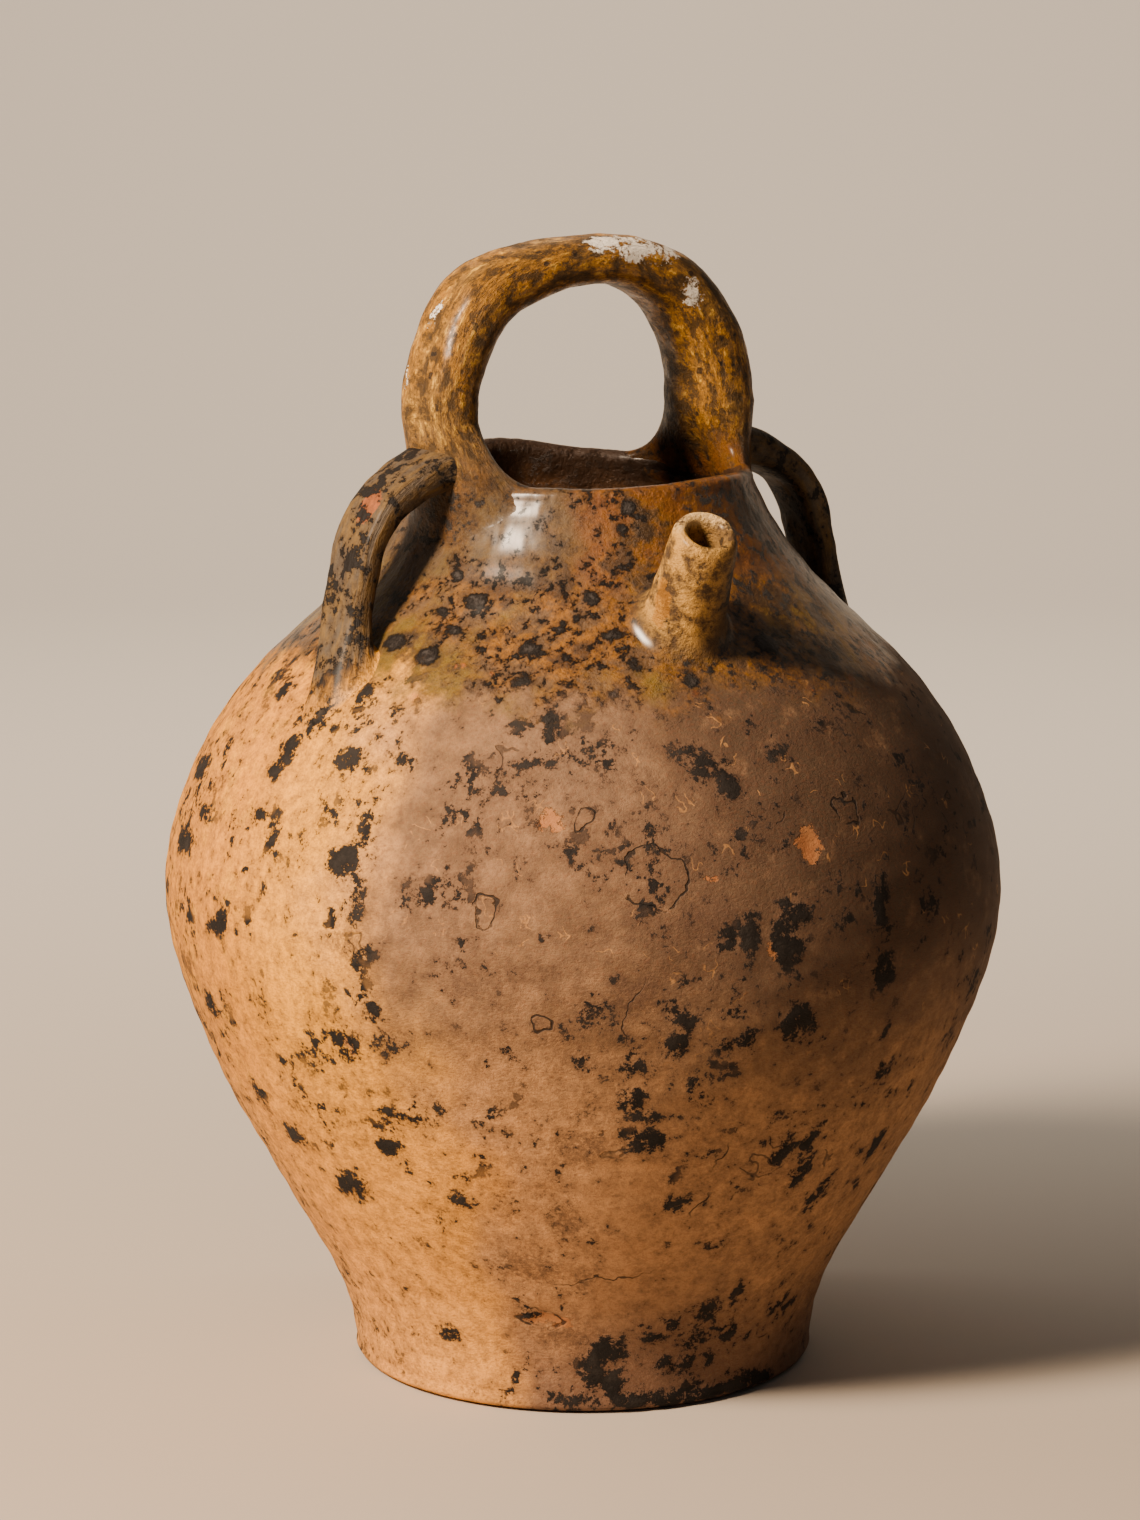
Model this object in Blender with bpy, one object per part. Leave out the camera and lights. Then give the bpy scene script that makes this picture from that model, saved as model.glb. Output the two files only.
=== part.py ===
"""Terracotta oil jar: a wheel-thrown body with a luted pouring spout, a basket handle and two strap handles.

Metres, +Z up, origin at the centre of the flat base. The basket handle and the right strap stand over the
X axis. The left strap and the spout, which points along -Y, are a little off square as the potter set them.
"""

import math

import bmesh
import bpy
import numpy as np

# Outside of the thrown body, from the base up: each place's rise above the one below it, and its radius
BASE_EDGE = 0.003
BASE_RADIUS = 0.0760
FOOT_RISE = 0.0150
FOOT_RADIUS = 0.0783
FLANK_RISE = 0.0440
FLANK_RADIUS = 0.1006
LOWER_BELLY_RISE = 0.0415
LOWER_BELLY_RADIUS = 0.1225
BELLY_RISE = 0.0570
BELLY_RADIUS = 0.1380
SHOULDER_RISE = 0.0440
SHOULDER_RADIUS = 0.1249
UPPER_SHOULDER_RISE = 0.0255
UPPER_SHOULDER_RADIUS = 0.1070
NECK_ROOT_RISE = 0.0200
NECK_ROOT_RADIUS = 0.0852
NECK_RISE = 0.0185
NECK_RADIUS = 0.0685
COLLAR_RISE = 0.0180
COLLAR_RADIUS = 0.0576
RIM_RISE = 0.0060
RIM_RADIUS = 0.0543

# Thickness of the clay
WALL = 0.0080
LIP = 0.0072
FLOOR = 0.0110
FLOOR_CORNER = 0.0140

# Finger swell that the potter left on the mouth, behind the left end of the basket handle
RIM_SWELL = 0.0040
RIM_SWELL_BEARING = 183.0
RIM_SWELL_SPREAD = 24.0

# Basket handle: a pulled strap that tapers from its right end to its left one
HANDLE_SPRING = 0.0255
HANDLE_RISE = 0.0442
LEFT_ARM_REACH = 0.0540
RIGHT_ARM_REACH = 0.0485
LEFT_ARM_THICKNESS = 0.0190
RIGHT_ARM_THICKNESS = 0.0235
ARM_WIDTH = 0.0300
HANDLE_TOP_THICKNESS = 0.0156
HANDLE_TOP_WIDTH = 0.0270
HANDLE_FULLNESS = 0.735
HAUNCH_THICKNESS = 0.0215
HANDLE_TAIL_DROP = 0.0200
HANDLE_TAIL_THICKNESS = 0.0120
HANDLE_TAIL_WIDTH = 0.0160

# Strap handles, from just under the rim to the shoulder
STRAP_THICKNESS = 0.0092
STRAP_WIDTH = 0.0215
STRAP_FOOT_WIDTH = 0.0220
STRAP_TOP_RISE = 0.0045
STRAP_FOOT_DROP = 0.0550
STRAP_GAP = 0.0185

# The bow of a strap: shares of its drop, each with the share of the finger gap that it stands off there
STRAP_BOW = ((0.02, 0.45), (0.14, 1.05), (0.40, 1.00), (0.68, 0.45))

# Pouring spout
SPOUT_BEARING = -10.0
SPOUT_TILT = 60.0
SPOUT_SEAT_DROP = 0.0365
SPOUT_LENGTH = 0.0350
SPOUT_MOUTH_DIAMETER = 0.0200
SPOUT_ROOT_DIAMETER = 0.0240
SPOUT_BORE = 0.0105
SPOUT_LIP = 0.0022

# How far a pressed foot spreads over the body, how high the spread starts, and the joint of slip under it
FOOT_FLARE = 0.0050
FOOT_FLARE_HEIGHT = 0.0090
SLIP_JOINT = 0.0003

# Bearings of the upright planes that the handles lie in, turned from -Y towards +X
RIGHT_BEARING = 90.0
LEFT_BEARING = -87.0

# Fineness of the round forms
TURNED_SIDES = 60
SPAN_STEPS = 4
BODY_SPAN_STEPS = 3
MEASURING_STEPS = 40
SECTION_SIDES = 18
SHARP_ANGLE = 45.0


def clear_scene():
    for item in list(bpy.data.objects):
        bpy.data.objects.remove(item, do_unlink=True)


def smooth_curve(stations, steps=SPAN_STEPS):
    """A curve through every station (rows of numbers), with tangents set by the neighbours on each side."""
    stations = np.asarray(stations, float)
    reach = np.linalg.norm(np.diff(stations[:, :2], axis=0), axis=1)
    along = np.concatenate([[0.0], np.cumsum(reach)])
    slopes = np.gradient(stations, along, axis=0)
    rows = []
    for i in range(len(stations) - 1):
        span = along[i + 1] - along[i]
        for t in np.arange(steps) / steps:
            rows.append(
                (2 * t**3 - 3 * t**2 + 1) * stations[i]
                + (t**3 - 2 * t**2 + t) * span * slopes[i]
                + (3 * t**2 - 2 * t**3) * stations[i + 1]
                + (t**3 - t**2) * span * slopes[i + 1]
            )
    rows.append(stations[-1])
    return np.array(rows)


def body_stations():
    """(radius, height) of each named place on the outside, from the top of the base edge to the rim."""
    steps = [
        (BASE_RADIUS, BASE_EDGE),
        (FOOT_RADIUS, FOOT_RISE),
        (FLANK_RADIUS, FLANK_RISE),
        (LOWER_BELLY_RADIUS, LOWER_BELLY_RISE),
        (BELLY_RADIUS, BELLY_RISE),
        (SHOULDER_RADIUS, SHOULDER_RISE),
        (UPPER_SHOULDER_RADIUS, UPPER_SHOULDER_RISE),
        (NECK_ROOT_RADIUS, NECK_ROOT_RISE),
        (NECK_RADIUS, NECK_RISE),
        (COLLAR_RADIUS, COLLAR_RISE),
        (RIM_RADIUS, RIM_RISE),
    ]
    radii, rises = np.array(steps).T
    return np.column_stack([radii, np.cumsum(rises)])


OUTSIDE = smooth_curve(body_stations(), BODY_SPAN_STEPS)
FINE_OUTSIDE = smooth_curve(body_stations(), MEASURING_STEPS)
RIM_HEIGHT = OUTSIDE[-1, 1]
COLLAR_HEIGHT = RIM_HEIGHT - RIM_RISE


def outer_radius(height):
    return float(np.interp(height, FINE_OUTSIDE[:, 1], FINE_OUTSIDE[:, 0]))


def arc(centre, radius, start, end, steps=4):
    """Points on an arc in the section plane, from one angle to another in degrees."""
    turns = np.radians(np.linspace(start, end, steps + 1))
    return np.column_stack([centre[0] + radius * np.cos(turns), centre[1] + radius * np.sin(turns)])


def outer_section():
    """The outside from the middle of the base, round its edge, up to the rim and over the rounded lip."""
    edge = arc((BASE_RADIUS - BASE_EDGE, BASE_EDGE), BASE_EDGE, -90, 0, steps=3)
    lip = arc((RIM_RADIUS - LIP / 2, RIM_HEIGHT), LIP / 2, 0, 180, steps=6)
    return np.vstack([[[0.0, 0.0]], edge[:-1], OUTSIDE[:-1], lip])


def inner_section():
    """The inside from just under the lip down to the middle of the floor, one wall in from the outside."""
    slope = np.gradient(OUTSIDE[:, 0], OUTSIDE[:, 1])
    inside = OUTSIDE[:, 0] - WALL * np.hypot(1.0, slope)
    heights = OUTSIDE[:, 1]
    kept = (heights > FLOOR + FLOOR_CORNER) & (heights < COLLAR_HEIGHT)
    wall = np.column_stack([inside, heights])[kept][::-2]
    corner_radius = float(np.interp(FLOOR + FLOOR_CORNER, heights, inside))
    corner = arc((corner_radius - FLOOR_CORNER, FLOOR + FLOOR_CORNER), FLOOR_CORNER, 0, -90)
    return np.vstack([wall, corner, [[0.0, FLOOR]]])


def seat_section():
    """The outside of the body, filled across the mouth and grown by the slip joint: what every foot sits on."""
    outside = outer_section()
    top = int(np.argmax(outside[:, 1]))
    form = np.vstack([outside[: top + 1], [[0.0, outside[top, 1]]]])
    along = np.gradient(form, axis=0)
    along /= np.linalg.norm(along, axis=1)[:, None]
    grown = form + SLIP_JOINT * np.column_stack([along[:, 1], -along[:, 0]])
    grown[0] = (0.0, -SLIP_JOINT)
    grown[-1] = (0.0, form[-1, 1] + SLIP_JOINT)
    return grown


def swell_rim(point):
    """Raises a point of the collar and the lip where the potter's finger left the mouth higher."""
    bearing = math.degrees(math.atan2(point[0], -point[1]))
    turn = (bearing - RIM_SWELL_BEARING + 180.0) % 360.0 - 180.0
    share = min(max((point[2] - COLLAR_HEIGHT) / RIM_RISE, 0.0), 1.0)
    return point[2] + RIM_SWELL * share * math.exp(-((turn / RIM_SWELL_SPREAD) ** 2))


def turned_mesh(name, section):
    """Turns a section, which starts and ends on the axis, into a closed mesh."""
    mesh = bmesh.new()
    turns = np.linspace(0.0, 2 * math.pi, TURNED_SIDES, endpoint=False)
    bottom = mesh.verts.new((0.0, 0.0, section[0, 1]))
    top = mesh.verts.new((0.0, 0.0, section[-1, 1]))
    rings = []
    for radius, height in section[1:-1]:
        points = [(radius * math.sin(t), -radius * math.cos(t), height) for t in turns]
        rings.append([mesh.verts.new((x, y, swell_rim((x, y, z)))) for x, y, z in points])
    for i in range(TURNED_SIDES):
        j = (i + 1) % TURNED_SIDES
        mesh.faces.new((bottom, rings[0][j], rings[0][i]))
        mesh.faces.new((top, rings[-1][i], rings[-1][j]))
        for lower, upper in zip(rings, rings[1:]):
            mesh.faces.new((lower[i], lower[j], upper[j], upper[i]))
    return finished_mesh(name, mesh)


def finished_mesh(name, mesh):
    """Turns every face outwards and shades the mesh smooth, apart from its real edges."""
    bmesh.ops.recalc_face_normals(mesh, faces=mesh.faces)
    data = bpy.data.meshes.new(name)
    mesh.to_mesh(data)
    mesh.free()
    data.shade_smooth()
    data.set_sharp_from_angle(angle=math.radians(SHARP_ANGLE))
    return data


def height_over_body(points):
    """Distance of each point from the outside of the body, and 0 for points inside it."""
    radius = np.hypot(points[:, 0], points[:, 1])
    off = np.hypot(radius[:, None] - FINE_OUTSIDE[:, 0], points[:, 2, None] - FINE_OUTSIDE[:, 1])
    skin = np.interp(points[:, 2], FINE_OUTSIDE[:, 1], FINE_OUTSIDE[:, 0])
    inside = (radius < skin) & (points[:, 2] < RIM_HEIGHT)
    return np.where(inside, 0.0, off.min(axis=1))


def swept_mesh(name, stations, bearing, flare=FOOT_FLARE, grow=0.0):
    """Sweeps an oval along stations of (outward, height, thickness, width) in the upright plane at a bearing.

    Where the sweep nears the body it spreads, as a foot does when it is pressed on and smoothed down.
    """
    path = smooth_curve(stations)
    turn = math.radians(bearing)
    outward = np.array([math.sin(turn), -math.cos(turn), 0.0])
    across = np.array([math.cos(turn), math.sin(turn), 0.0])
    up = np.array([0.0, 0.0, 1.0])
    along = np.gradient(path[:, :2], axis=0)
    along /= np.linalg.norm(along, axis=1)[:, None]
    round_turns = np.linspace(0.0, 2 * math.pi, SECTION_SIDES, endpoint=False)
    mesh = bmesh.new()
    rings = []
    for (out, height, thickness, width), (d_out, d_up) in zip(path, along):
        centre = out * outward + height * up
        normal = d_up * outward - d_out * up
        spokes = np.outer(thickness / 2 * np.cos(round_turns), normal)
        spokes += np.outer(width / 2 * np.sin(round_turns), across)
        lengths = np.linalg.norm(spokes, axis=1)[:, None]
        near = np.clip(1 - height_over_body(centre + spokes) / FOOT_FLARE_HEIGHT, 0, 1)
        ring = centre + spokes * (1 + (grow + flare * near[:, None] ** 2) / lengths)
        rings.append([mesh.verts.new(point) for point in ring])
    for first, second in zip(rings, rings[1:]):
        for i in range(SECTION_SIDES):
            j = (i + 1) % SECTION_SIDES
            mesh.faces.new((first[i], first[j], second[j], second[i]))
    mesh.faces.new(rings[0])
    mesh.faces.new(rings[-1])
    return finished_mesh(name, mesh)


def basket_stations():
    """Up the right side of the neck, over the mouth in a full arch and down the left side."""
    spring = RIM_HEIGHT + HANDLE_SPRING
    middle = (RIGHT_ARM_REACH - LEFT_ARM_REACH) / 2
    half_span = (RIGHT_ARM_REACH + LEFT_ARM_REACH) / 2
    tail = RIM_HEIGHT - HANDLE_TAIL_DROP
    buried = outer_radius(tail) - HANDLE_TAIL_THICKNESS
    lap = RIM_HEIGHT - RIM_RISE / 2
    arms = []
    for side, reach, thickness in (
        (1, RIGHT_ARM_REACH, RIGHT_ARM_THICKNESS),
        (-1, LEFT_ARM_REACH, LEFT_ARM_THICKNESS),
    ):
        haunch = middle + side * half_span * HANDLE_FULLNESS
        mid_width = (ARM_WIDTH + HANDLE_TOP_WIDTH) / 2
        arms.append(
            [
                (side * buried, tail, HANDLE_TAIL_THICKNESS, HANDLE_TAIL_WIDTH),
                (side * (outer_radius(lap) + reach) / 2, lap, thickness, ARM_WIDTH),
                (side * reach, spring, thickness, ARM_WIDTH),
                (haunch, spring + HANDLE_RISE * HANDLE_FULLNESS, HAUNCH_THICKNESS, mid_width),
            ]
        )
    top = [(middle, spring + HANDLE_RISE, HANDLE_TOP_THICKNESS, HANDLE_TOP_WIDTH)]
    return arms[0] + top + arms[1][::-1]


def strap_stations(arm_reach):
    """Out of the middle of a basket handle's arm, over a sloping crest, and down past a finger's gap."""
    top = RIM_HEIGHT + STRAP_TOP_RISE
    foot = RIM_HEIGHT - STRAP_FOOT_DROP
    drop = top - foot
    half = STRAP_THICKNESS / 2

    stations = [(arm_reach, top + half, STRAP_THICKNESS, STRAP_WIDTH)]
    for share_of_drop, share_of_gap in STRAP_BOW:
        height = top - share_of_drop * drop
        radius = outer_radius(height) + share_of_gap * STRAP_GAP + half
        stations.append((radius, height, STRAP_THICKNESS, STRAP_WIDTH))
    foot_radius = outer_radius(foot) - half
    stations.append((foot_radius, foot, STRAP_THICKNESS, STRAP_FOOT_WIDTH))
    stations.append((foot_radius, foot - WALL, STRAP_THICKNESS, STRAP_FOOT_WIDTH))
    return stations


def spout_point(reach):
    """(outward, height) of the spout's axis at a distance out from its seat on the shoulder."""
    tilt = math.radians(SPOUT_TILT)
    seat = RIM_HEIGHT - SPOUT_SEAT_DROP
    return outer_radius(seat) + reach * math.cos(tilt), seat + reach * math.sin(tilt)


def spout_stations():
    """A tapered tube from inside the wall up to a rounded lip."""
    lip_diameter = (SPOUT_MOUTH_DIAMETER + SPOUT_BORE) / 2
    rounding = SPOUT_LIP / 3
    reaches = [
        (-WALL, SPOUT_ROOT_DIAMETER),
        (0.0, SPOUT_ROOT_DIAMETER),
        (SPOUT_LENGTH - SPOUT_LIP, SPOUT_MOUTH_DIAMETER),
        (SPOUT_LENGTH - rounding, SPOUT_MOUTH_DIAMETER - rounding),
        (SPOUT_LENGTH, lip_diameter),
    ]
    return [(*spout_point(reach), diameter, diameter) for reach, diameter in reaches]


def bore_stations():
    """A straight hole from the inside of the jar out past the spout's mouth."""
    ends = (-2 * WALL, SPOUT_LENGTH + WALL)
    return [(*spout_point(reach), SPOUT_BORE, SPOUT_BORE) for reach in ends]


def clay(name, colour, roughness):
    material = bpy.data.materials.new(name)
    material.use_nodes = True
    shader = material.node_tree.nodes["Principled BSDF"]
    shader.inputs["Base Color"].default_value = (*colour, 1.0)
    shader.inputs["Roughness"].default_value = roughness
    shader.inputs["Metallic"].default_value = 0.0
    return material


def add_piece(name, mesh, material, parent):
    piece = bpy.data.objects.new(name, mesh)
    bpy.context.collection.objects.link(piece)
    piece.data.materials.append(material)
    piece.parent = parent
    return piece


def add_cutter(name, mesh):
    cutter = bpy.data.objects.new(name, mesh)
    bpy.context.collection.objects.link(cutter)
    cutter.hide_render = True
    cutter.display_type = "WIRE"
    return cutter


def cut(piece, *cutters):
    for cutter in cutters:
        modifier = piece.modifiers.new("cut by " + cutter.name, "BOOLEAN")
        modifier.operation = "DIFFERENCE"
        modifier.solver = "EXACT"
        modifier.object = cutter


def main():
    clear_scene()
    jar = bpy.data.objects.new("oil_jar", None)
    bpy.context.collection.objects.link(jar)

    seat = add_cutter("seat_form", turned_mesh("seat_form", seat_section()))
    bore = add_cutter("bore_form", swept_mesh("bore_form", bore_stations(), SPOUT_BEARING, flare=0.0))
    handle_seat = add_cutter(
        "handle_seat_form",
        swept_mesh("handle_seat_form", basket_stations(), RIGHT_BEARING, grow=SLIP_JOINT),
    )

    body_clay = clay("bare_buff_clay", (0.40, 0.22, 0.12), 0.75)
    body_section = np.vstack([outer_section(), inner_section()])
    body = add_piece("thrown_body", turned_mesh("thrown_body", body_section), body_clay, jar)
    cut(body, bore)

    handle_glaze = clay("worn_ochre_glaze", (0.30, 0.17, 0.05), 0.45)
    basket_mesh = swept_mesh("basket_handle", basket_stations(), RIGHT_BEARING)
    basket = add_piece("basket_handle", basket_mesh, handle_glaze, jar)
    cut(basket, seat)

    strap_glaze = clay("spotted_brown_glaze", (0.24, 0.12, 0.05), 0.50)
    for name, bearing, arm_reach in (
        ("right_strap_handle", RIGHT_BEARING, RIGHT_ARM_REACH),
        ("left_strap_handle", LEFT_BEARING, LEFT_ARM_REACH),
    ):
        strap = add_piece(name, swept_mesh(name, strap_stations(arm_reach), bearing), strap_glaze, jar)
        cut(strap, seat, handle_seat)

    spout_glaze = clay("buff_spout_glaze", (0.33, 0.21, 0.09), 0.50)
    spout_mesh = swept_mesh("pouring_spout", spout_stations(), SPOUT_BEARING)
    spout = add_piece("pouring_spout", spout_mesh, spout_glaze, jar)
    cut(spout, seat, bore)


main()
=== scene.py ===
# %% [markdown]
# A terracotta oil jar, dressed over its measured solids. The jar was thrown on a wheel, its handles and
# spout were pulled and pressed on, and its shoulder was dipped in a lead glaze before one firing. The
# lesson follows that order: the turned body, the pressed pieces, then the clay and glaze, then the light.

# %% Load the fixed frame
import functools
import itertools
import math

import bmesh
import bpy
import numpy as np
from mathutils import Matrix, Vector, noise


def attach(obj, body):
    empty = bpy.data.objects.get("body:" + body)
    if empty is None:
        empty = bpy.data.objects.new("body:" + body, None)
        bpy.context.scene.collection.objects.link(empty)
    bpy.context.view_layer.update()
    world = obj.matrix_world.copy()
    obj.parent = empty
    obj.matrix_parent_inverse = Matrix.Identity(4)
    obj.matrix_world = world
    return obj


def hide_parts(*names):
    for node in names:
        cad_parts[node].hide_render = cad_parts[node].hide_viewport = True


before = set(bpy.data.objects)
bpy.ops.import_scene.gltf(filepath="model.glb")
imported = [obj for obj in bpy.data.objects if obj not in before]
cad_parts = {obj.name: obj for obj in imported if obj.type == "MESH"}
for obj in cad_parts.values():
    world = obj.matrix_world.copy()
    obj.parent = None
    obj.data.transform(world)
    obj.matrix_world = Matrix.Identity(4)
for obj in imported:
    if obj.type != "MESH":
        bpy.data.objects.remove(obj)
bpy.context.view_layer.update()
MM = 0.001

# %% [markdown]
# The outline of the body could be typed in again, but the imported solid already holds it. A ray sent to
# the axis at each height meets the outside, and one sent out from the axis meets the inside. Reading the
# outline this way keeps the dressed jar on its solid whatever size the solid has.

# %% Read the outline off the solid
body_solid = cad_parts["thrown_body"]
UP = Vector((0, 0, 1))
OUTSIDE = 0.4
IN_THE_BELLY = Vector((3 * MM, 2 * MM, 150 * MM))


def skin_radius(height, from_inside):
    """Radius of the solid's skin at a height, on the side away from the spout."""
    start = Vector((0, 0 if from_inside else OUTSIDE, height))
    way = Vector((0, 1 if from_inside else -1, 0))
    found, place, _, _ = body_solid.ray_cast(start, way)
    return math.hypot(place.x, place.y) if found else 0


def floor_height():
    """Height of the floor inside, met by a ray that falls from the middle of the belly."""
    _, place, _, _ = body_solid.ray_cast(IN_THE_BELLY, -UP)
    return place.z


def eased(values, passes=6):
    """Rounds off the facets of a measured row, and keeps its ends."""
    row = np.array(values, float)
    for _ in range(passes):
        row[1:-1] = 0.25 * row[:-2] + 0.5 * row[1:-1] + 0.25 * row[2:]
    return row


BASE_EDGE = 3 * MM
RIM_HEIGHT = 292.5 * MM
LIP = 7.2 * MM
FLOOR = floor_height()
OVER_FLOOR = 0.4 * MM
OUTER_READINGS = 120
INNER_READINGS = 90
heights = np.linspace(BASE_EDGE, RIM_HEIGHT, OUTER_READINGS)
outer_radii = eased([skin_radius(h, False) for h in heights])
inner_heights = np.linspace(FLOOR + OVER_FLOOR, RIM_HEIGHT, INNER_READINGS)
inner_radii = eased([skin_radius(h, True) for h in inner_heights], passes=3)
print("belly radius in mm:", round(outer_radii.max() / MM, 1), "rim radius:", round(outer_radii[-1] / MM, 1))


def outer_radius(height):
    return float(np.interp(height, heights, outer_radii))


# %% [markdown]
# One line now runs from the middle of the base, up the outside, over the lip and down the inside to the
# floor. Measured along its length, that line is the jar's second coordinate: the first is the bearing
# around the axis. Every later piece, and every foot, is placed by bearing and length along the line.

# %% The section line
EDGE_STEPS = 5
LIP_STEPS = 10


def arc(centre, radius, start, end, steps):
    """Points of an arc around a centre, from a start to an end in degrees."""
    turns = np.radians(np.linspace(start, end, steps + 1))
    return np.column_stack([centre[0] + radius * np.cos(turns), centre[1] + radius * np.sin(turns)])


edge_points = arc((outer_radii[0] - BASE_EDGE, BASE_EDGE), BASE_EDGE, -90, 0, EDGE_STEPS)
lip_points = arc((outer_radii[-1] - LIP / 2, RIM_HEIGHT), LIP / 2, 0, 180, LIP_STEPS)
section = np.vstack(
    [
        [[0, 0]],
        edge_points[:-1],
        np.column_stack([outer_radii, heights])[:-1],
        lip_points,
        np.column_stack([inner_radii, inner_heights])[::-1][1:],
        [[0, FLOOR]],
    ]
)
steps_along = np.linalg.norm(np.diff(section, axis=0), axis=1)
along_section = np.concatenate([[0], np.cumsum(steps_along)])
OUTER_START = len(edge_points)
LIP_START = OUTER_START + len(heights) - 1
LIP_TOP = along_section[LIP_START + len(lip_points) // 2]
section_way = np.gradient(section, along_section, axis=0)
section_way /= np.linalg.norm(section_way, axis=1)[:, None]
section_rows = [*section.T, *section_way.T]


def length_at(height):
    """Length along the section line of a height on the outside."""
    outside = slice(OUTER_START, LIP_START + 1)
    return float(np.interp(height, section[outside, 1], along_section[outside]))


print("section line in mm:", round(along_section[-1] / MM), "lip at", round(LIP_TOP / MM))

# %% [markdown]
# A thrown wall is never quite true. The potter's fingers leave faint rings, drying and firing pull the
# wall a little out of round, and the mouth keeps a swell where a finger left it. The fine pitting belongs
# to the finish, but these forms are real relief, so they move the mesh itself.

# %% Relief of the thrown wall
SWELL_BEARING = math.radians(183)
SWELL_SPREAD = math.radians(24)
SWELL = 4 * MM
SWELL_RISE = 8 * MM
RIM_DROP = 0.8 * MM
RING_PITCH = 11 * MM
SET_BACK = 0.62
INNER_SHARE = 0.6
FADE_RADIUS = 12 * MM
FLAT_BELOW = 2 * MM
# each row: size in millimetres, fineness around and up, and a shift to another part of the noise
WALL_NOISES = (
    (0.75, 1.1, 9, (3.1, 7.7)),
    (0.34, 3.4, 34, (0.3, 1.7)),
    (0.2, 13, 95, (9.3, 4.1)),
    (0.1, 36, 270, (2.3, 8.1)),
)


def turn_from(centre, bearing):
    """The angle from one bearing to another, the short way round."""
    return (bearing - centre + math.pi) % (2 * math.pi) - math.pi


def thrown_relief(bearing, height, inside):
    """How far the wall stands in (negative) or out at a place."""
    place = Vector((math.sin(bearing), -math.cos(bearing), 0))
    waves = [
        noise.noise(place * around + Vector((*shift, height * up))) for _, around, up, shift in WALL_NOISES
    ]
    wander = 1.2 * noise.noise(Vector((height * 18, 0.5, 0)))
    ring = math.sin(2 * math.pi * height / RING_PITCH + 0.5 * bearing + 2 * wander)
    ring_depth = 0.09 + 0.1 * waves[0]
    size = sum(row[0] * wave for row, wave in zip(WALL_NOISES, waves)) + ring_depth * ring
    return (size - SET_BACK) * MM * (INNER_SHARE if inside else 1)


def rim_swell(bearing, height):
    """How far the lip stands up or down: a swell on one side and a slow waver all round."""
    turn = turn_from(SWELL_BEARING, bearing)
    share = min(max((height - RIM_HEIGHT + SWELL_RISE) / SWELL_RISE, 0), 1)
    waver = 0.6 * MM * math.sin(2 * bearing + 0.7) + 0.35 * MM * math.sin(5 * bearing)
    return share * (SWELL * math.exp(-((turn / SWELL_SPREAD) ** 2)) + waver - RIM_DROP)


def body_point(bearing, length, lift=0):
    """A point on the dressed body, at a bearing and a length along the section line."""
    radius, height, way_r, way_z = (float(np.interp(length, along_section, row)) for row in section_rows)
    size = math.hypot(way_r, way_z) or 1
    flat = length < along_section[OUTER_START] or height < FLAT_BELOW
    off = lift if flat else lift + thrown_relief(bearing, height, length > LIP_TOP)
    off *= min(radius / FADE_RADIUS, 1) / size
    radius += off * way_z
    height += rim_swell(bearing, height) - off * way_r
    return Vector((radius * math.sin(bearing), -radius * math.cos(bearing), height))


print("relief sizes in mm:", [row[0] for row in WALL_NOISES], "rim swell:", round(SWELL / MM, 1))
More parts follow.
